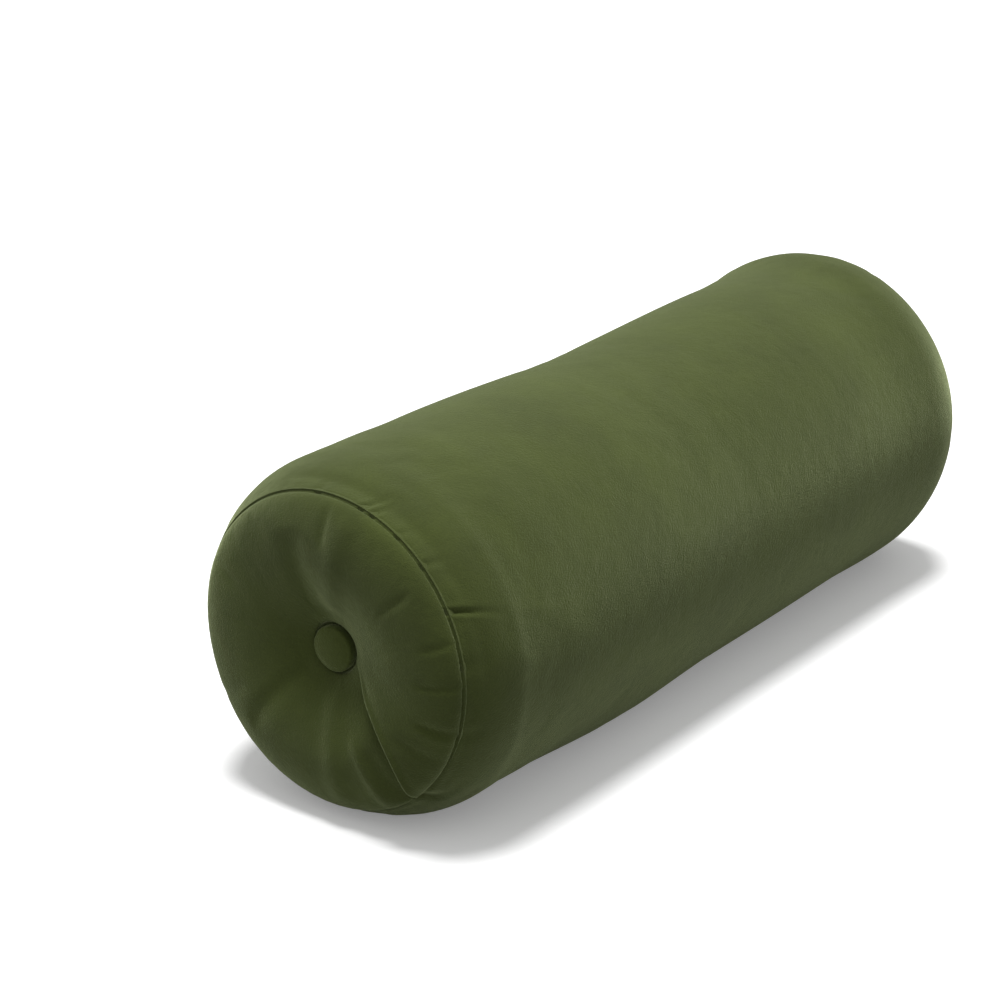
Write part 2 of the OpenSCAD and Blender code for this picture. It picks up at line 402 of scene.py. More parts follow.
@dataclass(frozen=True)
class Weave:
    """A plain woven cloth or braid, such as tape, cotton or thread."""

    name: str
    colour: tuple[float, float, float]
    threads: float = 300.0
    depth_m: float = 0.00015
    roughness: float = 0.8

    def material(self) -> bpy.types.Material:
        """The cloth's material: crossing threads with slubs between them."""
        g = Graph(self.name)
        warp = g.waves(self.threads, "X", 0.6)
        weft = g.waves(self.threads, "Z", 0.6)
        cross = g.math("MULTIPLY", warp, weft)
        slub = g.noise(120.0, 3.0, 0.6)
        tone = g.math("ADD", g.math("MULTIPLY", cross, 0.55), g.math("MULTIPLY", slub, 0.45))
        g.colour(g.ramp(tone, [(0.1, shade(self.colour, 0.72)), (0.75, shade(self.colour, 1.12))]))
        g.bump(cross, self.depth_m, 0.7)
        g.set(Roughness=self.roughness, Specular_IOR_Level=0.25, Sheen_Weight=0.12)
        return g.material


@dataclass(frozen=True)
class Fluff:
    """A soft open filling, such as wadding or foam."""

    name: str
    colour: tuple[float, float, float]
    cell: float = 500.0
    depth_m: float = 0.0006

    def material(self) -> bpy.types.Material:
        """The filling's material: tangled fibres or cells with shadow between them."""
        g = Graph(self.name)
        cells = g.noise(self.cell, 4.0, 0.7)
        clumps = g.noise(60.0, 2.0, 0.5)
        tone = g.math("ADD", g.math("MULTIPLY", cells, 0.6), g.math("MULTIPLY", clumps, 0.4))
        g.colour(g.ramp(tone, [(0.3, shade(self.colour, 0.8)), (0.62, self.colour)]))
        g.bump(cells, self.depth_m, 0.8)
        g.set(Roughness=0.95, Specular_IOR_Level=0.1)
        return g.material


@dataclass(frozen=True)
class Metal:
    """Plated or bright metal with fine scratches and tarnish in places."""

    name: str
    colour: tuple[float, float, float]
    tarnish: tuple[float, float, float]
    roughness: float = 0.3

    def material(self) -> bpy.types.Material:
        """The metal's material: tarnish clouds and brushing marks."""
        g = Graph(self.name)
        cloud = g.noise(220.0, 4.0, 0.6)
        g.colour(g.ramp(cloud, [(0.38, self.tarnish), (0.58, self.colour)]))
        marks = g.noise(2400.0, 2.0, 0.7)
        low, span = self.roughness - 0.06, 0.22
        rough = g.math("ADD", g.math("MULTIPLY", cloud, span), low)
        g.links.new(rough, g.surface.inputs["Roughness"])
        g.bump(marks, 0.00002, 0.35)
        g.set(Metallic=1.0)
        return g.material


@dataclass(frozen=True)
class Nylon:
    """Extruded monofilament, faintly glossy and slightly uneven in colour."""

    name: str
    colour: tuple[float, float, float]

    def material(self) -> bpy.types.Material:
        """The nylon's material."""
        g = Graph(self.name)
        patch = g.noise(180.0, 3.0, 0.55)
        g.colour(g.ramp(patch, [(0.35, shade(self.colour, 0.8)), (0.65, shade(self.colour, 1.15))]))
        g.bump(g.noise(1400.0, 2.0, 0.5), 0.00003, 0.5)
        g.set(Roughness=0.38, Specular_IOR_Level=0.5)
        return g.material


@dataclass(frozen=True)
class StudioFloor:
    """The studio's white floor, which throws only a little light back at the bolster."""

    name: str
    colour: tuple[float, float, float]
    thrown_back: float = 0.4
    lift: float = 0.225

    def material(self) -> bpy.types.Material:
        """The floor's material: white as seen, and greyer in the light that it throws back."""
        g = Graph(self.name)
        seen = g.add("ShaderNodeLightPath").outputs["Is Camera Ray"]
        paper = g.ramp(g.noise(2.0), [(0.3, shade(self.colour, 0.99)), (0.7, self.colour)])
        grey = (*(channel * self.thrown_back for channel in self.colour), 1.0)
        mix = g.add("ShaderNodeMix", data_type="RGBA")
        mix.inputs[6].default_value = grey
        g.links.new(seen, mix.inputs[0])
        g.links.new(paper, mix.inputs[7])
        g.colour(mix.outputs[2])
        g.links.new(g.math("MULTIPLY", seen, self.lift), g.surface.inputs["Emission Strength"])
        g.set(Roughness=0.9, Specular_IOR_Level=0.0, Emission_Color=(1, 1, 1, 1))
        return g.material


@dataclass(frozen=True)
class Finishes:
    """Every finish on the bolster, by the part that wears it."""

    velvet: Velvet = Velvet("olive_velvet", (0.0475, 0.062, 0.0112))
    button_velvet: Velvet = Velvet("button_velvet", (0.0555, 0.072, 0.0135), sheen=0.5)
    thread: Weave = Weave("olive_thread", (0.042, 0.053, 0.019), threads=900.0, depth_m=0.00005)
    tape: Weave = Weave("zip_tape_weave", (0.05, 0.062, 0.024), threads=420.0)
    coil: Nylon = Nylon("zip_coil_nylon", (0.09, 0.105, 0.05))
    zip_metal: Metal = Metal("aged_brass_plate", (0.47, 0.38, 0.22), (0.26, 0.21, 0.13), 0.32)
    button_metal: Metal = Metal("pressed_aluminium", (0.78, 0.78, 0.79), (0.6, 0.6, 0.62), 0.34)
    wire: Metal = Metal("bright_steel_wire", (0.62, 0.62, 0.63), (0.42, 0.42, 0.43), 0.28)
    twine: Weave = Weave("waxed_twine", (0.68, 0.62, 0.48), threads=700.0, depth_m=0.0001)
    cotton: Weave = Weave("unbleached_cotton", (0.76, 0.71, 0.6), threads=520.0)
    wadding: Fluff = Fluff("polyester_wadding", (0.86, 0.86, 0.84), 420.0)
    foam: Fluff = Fluff("open_cell_foam", (0.82, 0.72, 0.42), 900.0, 0.0004)
    floor: StudioFloor = StudioFloor("studio_floor", (0.88, 0.88, 0.88))


def dress(piece: bpy.types.Object, material: bpy.types.Material) -> None:
    """Gives a piece one material in place of whatever it had."""
    piece.data.materials.clear()
    piece.data.materials.append(material)


# ---------------------------------------------------------------------------------------------
# The outline that every soft layer follows
# ---------------------------------------------------------------------------------------------


@dataclass(frozen=True)
class Crease:
    """A soft fold on an end disc that runs in from its seam towards the button.

    Attributes:
        angle: Where it meets the seam, in degrees from +Y up towards +Z.
        start, stop: Radii between which it shows, in metres.
        depth: How deep it is, or how high when negative, in metres.
        width: Half its width, in metres.
        bend: How far it curves away near the button, in degrees.
        lean: How much its far side is lifted, as a share of its depth.
    """

    angle: float
    start: float
    stop: float
    depth: float
    width: float
    bend: float = 0.0
    lean: float = 0.0


@dataclass(frozen=True)
class Tuck:
    """A sharp fold where surplus cloth laps over itself, from the button to the seam.

    Attributes:
        angle: Where it meets the seam, in degrees from +Y up towards +Z.
        bend: How far its path curves away near the button, in degrees.
        lift: Height of the lapping edge, in metres.
        sink: Depth of the cloth that it laps over, in metres.
        lap: How far the edge reaches over, in metres.
    """

    angle: float
    bend: float
    lift: float
    sink: float
    lap: float


@dataclass(frozen=True)
class Pucker:
    """A short pinch in the tube's cloth that runs back from an end seam.

    Attributes:
        angle: Where it starts on the seam, in degrees from +Y up towards +Z.
        length: How far it runs, in metres.
        depth: How deep it starts, in metres.
        width: Half its width, in metres.
        drift: How far it wanders sideways over its length, in degrees.
    """

    angle: float
    length: float
    depth: float
    width: float
    drift: float = 0.0


def wrap(angle: np.ndarray | float) -> np.ndarray | float:
    """An angle brought to within half a turn of zero, in radians."""
    return (angle + math.pi) % (2 * math.pi) - math.pi


def ease(value: np.ndarray) -> np.ndarray:
    """A smooth rise from 0 to 1 as the value goes from 0 to 1."""
    t = np.clip(value, 0.0, 1.0)
    return t * t * (3 - 2 * t)


def hump(value: np.ndarray, spread: float, power: int = 2) -> np.ndarray:
    """A smooth hump: 1 where the value is 0, fading away over a spread on both sides."""
    return np.exp(-((value / spread) ** power))


@dataclass(frozen=True)
class Zone:
    """A stretch of the outline, along the axis in metres or round it in radians.

    Attributes:
        middle: Where it is strongest.
        spread: How far it reaches to each side.
    """

    middle: float
    spread: float

    def along(self, x: np.ndarray) -> np.ndarray:
        """Its strength at places along the axis, from 0 to 1."""
        return hump(x - self.middle, self.spread)

    def around(self, phi: np.ndarray) -> np.ndarray:
        """Its strength at angles round the axis, from 0 to 1."""
        return hump(wrap(phi - self.middle), self.spread)


@dataclass
class Outline:
    """The bolster's soft outline: where any point of any layer lies at rest."""

    shoulder: float = 40 * MM
    sag: float = 7.5 * MM
    sag_power: float = 1.6
    slack: float = 0.6 * MM
    far_fullness: float = 2.4 * MM
    near_flatness: float = 3.2 * MM
    near_droop: float = 3.4 * MM
    low_bulge: float = 0.22
    back_flatness: float = 0.3
    low_fullness: float = 4.2 * MM
    far_sag: float = 3.6 * MM
    near_lift: float = 1.6 * MM
    seam_turn: float = 0.7 * MM
    crown_ring: float = 57 * MM
    rim_r: float = 14.9 * MM
    seat_r: float = 13.5 * MM
    pole_r: float = 5.2 * MM
    rim_depth: float = 2.6 * MM
    low_stretch: Zone = Zone(-85 * MM, 65 * MM)
    far_dip: Zone = Zone(205 * MM, 48 * MM)
    near_rise: Zone = Zone(-90 * MM, 80 * MM)
    top_arc: Zone = Zone(math.pi / 2, 0.8)
    flat_arc: Zone = Zone(math.radians(108), math.radians(40))
    full_arc: Zone = Zone(math.radians(232), math.radians(20))
    bulge_arc: Zone = Zone(-1.2, 0.8)
    back_arc: Zone = Zone(0.6, 0.7)
    zip_strip: float = 0.36
    floor_turn: float = 1.2 * MM
    lip: float = 1.1 * MM
    near_folds: list[Crease] = field(default_factory=list)
    far_folds: list[Crease] = field(default_factory=list)
    near_tuck: Tuck | None = None
    near_pinches: list[Pucker] = field(default_factory=list)
    far_pinches: list[Pucker] = field(default_factory=list)

    def __post_init__(self) -> None:
        """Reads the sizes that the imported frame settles."""
        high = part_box("cover_tube")[1]
        core_low, core_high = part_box("foam_core")
        panel_low, panel_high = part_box("end_panel_far")
        coil_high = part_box("zip_coil_upper")[1]
        self.half = high[0]
        self.body_r = high[1]
        self.axis_z = (core_low[2] + core_high[2]) / 2
        self.seam_r = (panel_high[1] - panel_low[1]) / 2
        self.crown = panel_high[0] - self.half - 2.2 * MM
        self.slot_half_len = coil_high[0] + 4 * MM
        self.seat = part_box("button_cloth_far")[0][0] - self.half - 0.35 * MM
        drop = self.body_r - self.seam_r
        self.shoulder_r = (self.shoulder**2 + drop**2) / (2 * drop)
        rng = np.random.default_rng(SEED)
        self.swells = [
            (
                rng.uniform(3, 16),
                int(rng.integers(1, 5)),
                rng.uniform(0, 2 * math.pi),
                rng.uniform(0.3, 1.0),
            )
            for _ in range(10)
        ]

    def body_radius(self, x: np.ndarray, phi: np.ndarray) -> np.ndarray:
        """Distance of the cover's face from the axis along the tube, in metres."""
        beyond = np.clip(np.abs(x) - (self.half - self.shoulder), 0.0, self.shoulder)
        arc = self.body_r - self.shoulder_r + np.sqrt(self.shoulder_r**2 - beyond**2)
        t = np.abs(x) / self.half
        full = 0.8 * MM * np.sin(math.pi * np.clip(t * 1.1, 0, 1)) - self.slack * (1 - t)
        swell = sum(
            size * np.sin(rate * x + turn * phi + phase) for rate, turn, phase, size in self.swells
        )
        return arc + (full + 0.28 * MM * swell) * self.free(phi) * (1 - t**6)

    def end_shape(self, x: np.ndarray, phi: np.ndarray) -> np.ndarray:
        """How much fuller the far shoulder and flatter the near one's top are, in metres."""
        far_back, near_back = self.half - x, self.half + x
        above = self.top_arc.around(phi)
        reach = 85 * MM - 15 * MM * above
        far = ease(far_back / (10 * MM)) * (1 - ease((far_back - 14 * MM) / reach))
        near = ease(near_back / (12 * MM)) * (1 - ease((near_back - 26 * MM) / (50 * MM)))
        top = self.flat_arc.around(phi)
        low = self.full_arc.around(phi)
        spread = self.low_fullness * low * self.low_stretch.along(x)
        ends = self.far_fullness * far - self.near_flatness * near * top
        return (ends + spread) * self.free(phi)

    def droop(self, end: End, out: np.ndarray, phi: np.ndarray) -> np.ndarray:
        """How far the near end's lower half hangs below the axis' own circle, in metres.

        Args:
            end: Which end.
            out: Distance beyond that end's seam plane, in metres.
            phi: Angles from +Y up towards +Z, in radians.

        Returns:
            The drop, in metres.
        """
        if end is End.FAR:
            return 0.0 * phi
        low = ease(-1.1 * np.sin(phi))
        return self.near_droop * low * hump(out, 45 * MM)

    def free(self, phi: np.ndarray) -> np.ndarray:
        """0 along the zip, where the cloth is held to its place, and 1 away from it."""
        return 1 - hump(wrap(phi), self.zip_strip, 4)

    def laid_down(self, points: np.ndarray, depth: float = 0.0) -> np.ndarray:
        """Points pressed up to the floor, with a soft turn where the cloth leaves it."""
        points = points.copy()
        above = (points[..., 2] - depth) / self.floor_turn
        points[..., 2] = depth + self.floor_turn * np.logaddexp(0.0, above)
        return points

    def tube(self, x: np.ndarray, phi: np.ndarray, depth: float = 0.0) -> np.ndarray:
        """Points of a layer along the tube.

        Args:
            x: Places along the axis, in metres.
            phi: Angles from +Y up towards +Z, in radians.
            depth: The layer's depth below the cover's face, in metres.

        Returns:
            Points of the same shape with a last axis of 3.
        """
        r = self.body_radius(x, phi) - depth
        t = np.clip(np.abs(x) / self.half, 0, 1)
        r = r + self.end_shape(x, phi)
        lean = self.far_dip.along(x) * self.far_sag
        lean = lean - self.near_rise.along(x) * self.near_lift
        sag = (self.sag * (1 - t**self.sag_power) + lean * (1 - t**4)) * self.free(phi)
        drop = self.droop(End.NEAR, x + self.half, phi)
        z = self.axis_z - sag - drop + r * np.sin(phi)
        return np.stack([x + 0 * phi, r * np.cos(phi), z], axis=-1)

    def disc_profile(self) -> np.ndarray:
        """Radius and height of each ring over an end disc, from the seat out to the seam.

        Returns:
            Rows of (radius, height beyond the seam plane), in metres.
        """
        rings = [(r, self.seat) for r in np.linspace(self.pole_r, self.seat_r, 5)]
        for t in (0.3, 0.6, 0.85):
            rings.append(
                (
                    self.seat_r + t * (self.rim_r - self.seat_r),
                    self.seat + (-self.rim_depth - self.seat) * float(ease(np.array(t))),
                )
            )
        for t in np.linspace(0, 1, 27)[:-1]:
            rise = self.crown + self.rim_depth
            rings.append(
                (
                    self.rim_r + t * (self.crown_ring - self.rim_r),
                    -self.rim_depth + rise * math.sin(t * math.pi / 2),
                )
            )
        roll = self.seam_turn * 0.75
        widest = self.seam_r - self.seam_turn + roll
        for turn in np.linspace(math.pi / 2, 0, 22):
            rings.append(
                (
                    self.crown_ring + (widest - self.crown_ring) * math.cos(turn),
                    roll + (self.crown - roll) * math.sin(turn),
                )
            )
        for turn in np.linspace(0, -math.pi / 2, 6)[1:]:
            rings.append((widest - roll * (1 - math.cos(turn)), roll * (1 + math.sin(turn))))
        return np.array(rings)

    def path(self, fold: Crease | Tuck, r: np.ndarray) -> np.ndarray:
        """The angle of a fold's line at each radius, in radians."""
        inwards = np.clip((self.seam_r - r) / (self.seam_r - self.rim_r), 0, 1)
        return np.radians(fold.angle + fold.bend * inwards)

    def disc(
        self, end: End, profile: np.ndarray, columns: np.ndarray, depth: float = 0.0
    ) -> np.ndarray:
        """Points of a layer over an end disc, with its folds.

        Args:
            end: Which end.
            profile: Rings of (radius, height), in metres.
            columns: Angles from +Y up towards +Z, in radians.
            depth: The layer's depth below the cover's face, in metres.

        Returns:
            Points of shape (rings, columns, 3).
        """
        r = profile[:, :1] + 0 * columns
        height = profile[:, 1:] + 0 * columns
        phi = columns + 0 * r
        low = self.low_bulge * self.bulge_arc.around(columns)
        high = self.back_flatness * self.back_arc.around(columns)
        if end is End.FAR:
            low, high = 0 * low, 0 * high
        height = height * (1 + (low - high) * np.clip(height / self.crown, 0, 1))
        folds = self.near_folds if end is End.NEAR else self.far_folds
        tuck = self.near_tuck if end is End.NEAR else None
        if tuck:
            turn = self.path(tuck, r) - math.radians(tuck.angle)
            phi = phi + turn * hump(wrap(phi - math.radians(tuck.angle)), 0.95)
        for fold in folds:
            d = r * wrap(phi - self.path(fold, r))
            soft = 9 * MM
            along = ease((r - fold.start) / soft + 0.5) * ease((fold.stop - r) / soft + 0.5)
            valley = hump(d, fold.width)
            lean = fold.lean * (d / fold.width) * hump(d, 1.6 * fold.width)
            height = height - fold.depth * along * (valley - lean)
        if tuck and depth > 0:
            height = height - self.hollow(tuck, r, phi)
        elif tuck:
            height, phi = self.lapped(tuck, r, phi, height)
        share = ease((r - self.rim_r) / (self.seam_r - self.rim_r - 12 * MM))
        inset = np.clip((r - self.crown_ring) / (self.seam_r - self.crown_ring), 0, 1)
        r = r - depth * inset
        height = height - depth * (1 - 0.5 * inset)
        return np.stack(
            [
                end.value * (self.half + height),
                r * np.cos(phi),
                self.axis_z - share * self.droop(end, height, columns) + r * np.sin(phi),
            ],
            axis=-1,
        )

    def reached(self, r: np.ndarray) -> np.ndarray:
        """How much of a tuck there is at each radius, from 0 to 1."""
        starts = ease((r - self.rim_r + 3 * MM) / (26 * MM))
        return starts * ease((self.seam_r + 7 * MM - r) / (12 * MM))

    def hollow(self, tuck: Tuck, r: np.ndarray, phi: np.ndarray) -> np.ndarray:
        """How far the layers below the cover stay back under a tuck, in metres."""
        d = r * wrap(phi - self.path(tuck, r))
        return self.reached(r) * 1.12 * tuck.sink * hump(d, 11 * MM)

    def lapped(
        self, tuck: Tuck, r: np.ndarray, phi: np.ndarray, height: np.ndarray
    ) -> tuple[np.ndarray, np.ndarray]:
        """Heights and angles with the cloth lapped over itself along a tuck."""
        d = r * wrap(phi - self.path(tuck, r))
        along = self.reached(r)
        over = d < 0.05 * MM
        lift = tuck.lift * hump(d, 13 * MM) * np.where(over, 1.0, 0.0)
        sink = tuck.sink * hump(d, 11 * MM) * np.where(over, 0.0, 1.0)
        reach = tuck.lap * hump(d, 5 * MM) * np.where(over, 1.0, -0.7)
        lip = self.lip * hump(d + 1.3 * MM, 1.2 * MM) * np.where(over, 1.0, 0.0)
        turn = along * reach / np.maximum(r, self.rim_r)
        return height + along * (lift + lip - sink), phi + turn

    def pinched(self, end: End, x: np.ndarray, phi: np.ndarray, points: np.ndarray) -> np.ndarray:
        """Tube points with their seam puckers pressed in towards the axis."""
        back = self.half - end.value * x
        press = np.zeros_like(back + phi)
        for pinch in self.near_pinches if end is End.NEAR else self.far_pinches:
            along = np.clip(back / pinch.length, 0, None)
            line = math.radians(pinch.angle) + math.radians(pinch.drift) * along
            d = self.seam_r * wrap(phi - line)
            width = pinch.width * (1 + 0.3 * along)
            fade = np.clip(1 - along, 0, 1) ** 1.4
            valley = hump(d, width)
            shoulders = 0.2 * hump(np.abs(d) - 2.2 * width, width)
            press += pinch.depth * fade * (valley - shoulders)
        turn = hump(np.clip(back, 0, None), 1.1 * MM) * self.seam_turn
        away = np.stack([0 * (x + phi), np.cos(phi) + 0 * x, np.sin(phi) + 0 * x], axis=-1)
        return points - away * (press + turn)[..., None]


# ---------------------------------------------------------------------------------------------
# The plumped bag, from which the cover and the inner layers are cut
# ---------------------------------------------------------------------------------------------


def between(values: np.ndarray, axis: int, closed: bool) -> np.ndarray:
    """Doubles a grid along one axis with smooth values in between.

    Args:
        values: The grid.
        axis: The axis to refine.
        closed: Whether the grid closes on itself along that axis.

    Returns:
        The refined grid, with one value fewer at the end when it isn't closed.
    """
    v = np.moveaxis(values, axis, 0)
    count = len(v)
    index = np.arange(count if closed else count - 1)

    def at(shift: int) -> np.ndarray:
        """The values some steps along."""
        where = index + shift
        return v[where % count] if closed else v[np.clip(where, 0, count - 1)]

    middle = (9 * (at(0) + at(1)) - (at(-1) + at(2))) / 16
    out = np.empty((len(v) + len(middle), *v.shape[1:]))
    out[0::2] = v
    out[1::2] = middle
    return np.moveaxis(out, 0, axis)


def blurred(values: np.ndarray, rows: float, columns: float) -> np.ndarray:
    """A grid smoothed along its rows' order and round its columns.

    Args:
        values: The grid, of shape (rows, columns, 3).
        rows: Spread along the rows, in rows.
        columns: Spread round the columns, in columns.

    Returns:
        The smoothed grid.
    """
    reach = int(3 * rows)
    weights = np.exp(-0.5 * (np.arange(-reach, reach + 1) / rows) ** 2)
    padded = np.pad(values, ((reach, reach), (0, 0), (0, 0)), mode="reflect")
    out = sum(w * padded[k : k + len(values)] for k, w in enumerate(weights)) / weights.sum()
    reach = int(3 * columns)
    weights = np.exp(-0.5 * (np.arange(-reach, reach + 1) / columns) ** 2)
    turned = sum(w * np.roll(out, k - reach, axis=1) for k, w in enumerate(weights))
    return turned / weights.sum()


FABRIC = {
    "quality": 5,
    "mass": 0.3,
    "tension_stiffness": 18,
    "compression_stiffness": 12,
    "shear_stiffness": 6,
    "bending_stiffness": 0.35,
    "tension_damping": 8,
    "compression_damping": 8,
    "use_pressure": True,
    "vertex_group_mass": "held",
    "pin_stiffness": 1.0,
}


@dataclass
class Bag:
    """The bolster's cover as one closed bag, plumped up by its filling."""

    outline: Outline
    pressure: float = 4.0
    frames: int = 20
    surplus: float = -0.03
    most: float = 1.8 * MM
    disc_share: float = 0.16
    seam_share: float = 0.32
    middle_share: float = 0.15
    keep_swell: float = 0.15

    def __post_init__(self) -> None:
        """Lays out the bag's columns and rings."""
        line = self.outline
        beside_zip = np.array([3.2, 6.5, 7.3, 8.4, 9.5, 10.6, 12.2, 14.2]) * MM
        near = np.arcsin(beside_zip / line.body_r)
        rest = self.spread_columns(near[-1], 2 * math.pi - near[-1], 277)
        self.columns = np.r_[0.0, near, rest, 2 * math.pi - near[::-1]]
        back = np.array(
            [0, 0.5, 1, 1.6, 2.3, 3.2, 4.3, 5.6, 7.2, 9, 11, 13.2, 15.6, 18.2, 21, 24, 27, 30, 33]
            + [36, 39.5, 43, 46.5, 50, 53, 56, 59]
        ) * MM
        middle = np.linspace(-line.slot_half_len, line.slot_half_len, 87)
        self.stations = np.r_[-line.half + back, middle, (line.half - back)[::-1]]
        self.profile = line.disc_profile()
        self.seam_row = len(self.profile) - 1
        self.moves = np.zeros((2 * self.seam_row + len(self.stations), len(self.columns), 3))

    def spread_columns(self, start: float, stop: float, count: int) -> np.ndarray:
        """Angles from one to another, closer together over the puckers and beside the tuck.

        Args:
            start, stop: The angles that bound them, in radians.
            count: How many, which is odd.

        Returns:
            The angles in rising order.
        """
        edge = math.radians(self.outline.near_tuck.angle) % (2 * math.pi)
        beside = edge + np.radians([-1.3, -0.75, -0.32, 0.0, 0.16, 0.4, 0.85])
        fine = np.linspace(start, stop, 4000)
        zone = ease((fine - math.radians(92)) / 0.15) * ease((math.radians(166) - fine) / 0.15)
        density = 1 + 0.9 * zone + 0.8 * hump(fine - edge, 0.12)
        gathered = np.r_[0.0, np.cumsum((density[1:] + density[:-1]) / 2)]
        even = np.linspace(0, gathered[-1], count - len(beside) + 2)[1:-1]
        angles = np.interp(even, gathered, fine)
        clash = np.abs(angles[:, None] - beside[None]).min(axis=1) < math.radians(0.3)
        angles = np.where(clash, angles + math.radians(0.001), angles)
        return np.sort(np.r_[angles, beside])

    def tube_rows(self, depth: float) -> np.ndarray:
        """The tube's rows at a depth, before the filling moves them."""
        line = self.outline
        x = self.stations[:, None]
        rows = line.tube(x, self.columns[None], depth)
        for end in End:
            rows = line.pinched(end, x, self.columns[None], rows)
        return rows

    def whole(self) -> np.ndarray:
        """Every row of the bag, from the near seat over the tube to the far seat."""
        near = self.outline.disc(End.NEAR, self.profile, self.columns, 0.0)
        far = self.outline.disc(End.FAR, self.profile, self.columns, 0.0)
        return np.concatenate([near[:-1], self.tube_rows(0.0), far[::-1][1:]])

    def plump(self) -> None:
        """Fills the bag with a cloth simulation and keeps how far each point moved."""
        rows = self.whole()[::2, ::2]
        piece = cloth_from_rows(rows, "plumping_bag", caps=(True, True))
        held = self.held()[::2, ::2]
        group = piece.vertex_groups.new(name="held")
        flat = held.reshape(-1)
        for index in np.flatnonzero(flat > 0.01):
            group.add([int(index)], float(flat[index]), "REPLACE")
        poles = list(range(len(flat), len(piece.data.vertices)))
        group.add(poles, 1.0, "REPLACE")
        select_only(piece)
        cloth = piece.modifiers.new("Cloth", "CLOTH")
        for key, value in FABRIC.items():
            setattr(cloth.settings, key, value)
        cloth.settings.uniform_pressure_force = self.pressure
        cloth.settings.shrink_min = self.surplus
        cloth.settings.effector_weights.gravity = 0
        cloth.point_cache.frame_start = 1
        cloth.point_cache.frame_end = self.frames
        before = rows.reshape(-1, 3)
        for number in range(1, self.frames + 1):
            bpy.context.scene.frame_set(number)
        moved = (mesh_points(piece)[: len(before)] - before).reshape(rows.shape)
        bpy.context.scene.frame_set(1)
        bpy.data.objects.remove(piece)
        swell = blurred(moved, 5.0, 6.0)
        moved = moved - (1 - self.keep_swell) * swell
        length = np.linalg.norm(moved, axis=-1, keepdims=True)
        moved *= np.tanh(length / self.most) * self.most / np.maximum(length, 1e-9)
        moved *= (1 - held)[..., None] * self.share()[::2, None, None]
        self.moves = between(between(moved, 0, closed=False), 1, closed=True)
        log.info("bag plumped: it moved up to %.1f mm", 1000 * float(length.max()))

    def share(self) -> np.ndarray:
        """How much of the simulation's wrinkles each row keeps: most beside the two end seams."""
        seam = self.seam_row
        back = self.outline.half - np.abs(self.stations)
        tube = self.middle_share + (self.seam_share - self.middle_share) * hump(back, 42 * MM)
        disc = np.full(seam, self.disc_share)
        return np.r_[disc, tube, disc]

    def held(self) -> np.ndarray:
        """How firmly each point of the bag is held, from 0, free, to 1, sewn down."""
        rows = len(self.moves)
        held = np.zeros((rows, len(self.columns)))
        seat = int(np.searchsorted(self.profile[:, 0], self.outline.rim_r * 1.02))
        walk = np.linalg.norm(np.diff(self.profile, axis=0), axis=1)
        disc_way = np.r_[np.cumsum(walk[::-1])[::-1], 0.0][:-1]
        back = self.outline.half - np.abs(self.stations)
        way = np.r_[disc_way, back, disc_way[::-1]]
        held[:] = hump(way, 6 * MM)[:, None]
        held[:seat] = 1.0
        held[rows - seat :] = 1.0
        strip = hump(wrap(self.columns), 0.2, 6)
        inner = slice(self.seam_row, rows - self.seam_row)
        held[inner] = np.maximum(held[inner], strip)
        return held

    def tube(self, depth: float = 0.0) -> np.ndarray:
        """The tube's rows at a depth, as the filling leaves them."""
        inner = slice(self.seam_row, self.seam_row + len(self.stations))
        return self.outline.laid_down(self.tube_rows(depth) + self.moves[inner], depth)

    def disc(self, end: End, depth: float = 0.0) -> np.ndarray:
        """An end disc's rows at a depth, from its seat out to the seam."""
        moves = self.moves[: self.seam_row + 1]
        if end is End.FAR:
            moves = self.moves[::-1][: self.seam_row + 1]
        return self.outline.disc(end, self.profile, self.columns, depth) + moves

    def ring(self, end: End, section: list[tuple[float, float]], step: int) -> np.ndarray:
        """Plain round rows about the axis.

        Args:
            end: The end that they lie near.
            section: The rows as (radius, distance beyond that end's seam plane), in metres.
            step: Every how many of the bag's columns they use.

        Returns:
            Points of shape (rows, columns, 3), in the section's order.
        """
        line = self.outline
        columns = self.columns[::step]
        rows = [
            np.stack(
                [
                    np.full_like(columns, end.value * (line.half + out)),
                    r * np.cos(columns),
                    line.axis_z + r * np.sin(columns),
                ],
                axis=-1,
            )
            for r, out in section
        ]
        return np.array(rows)


# ---------------------------------------------------------------------------------------------
# The cover
# ---------------------------------------------------------------------------------------------


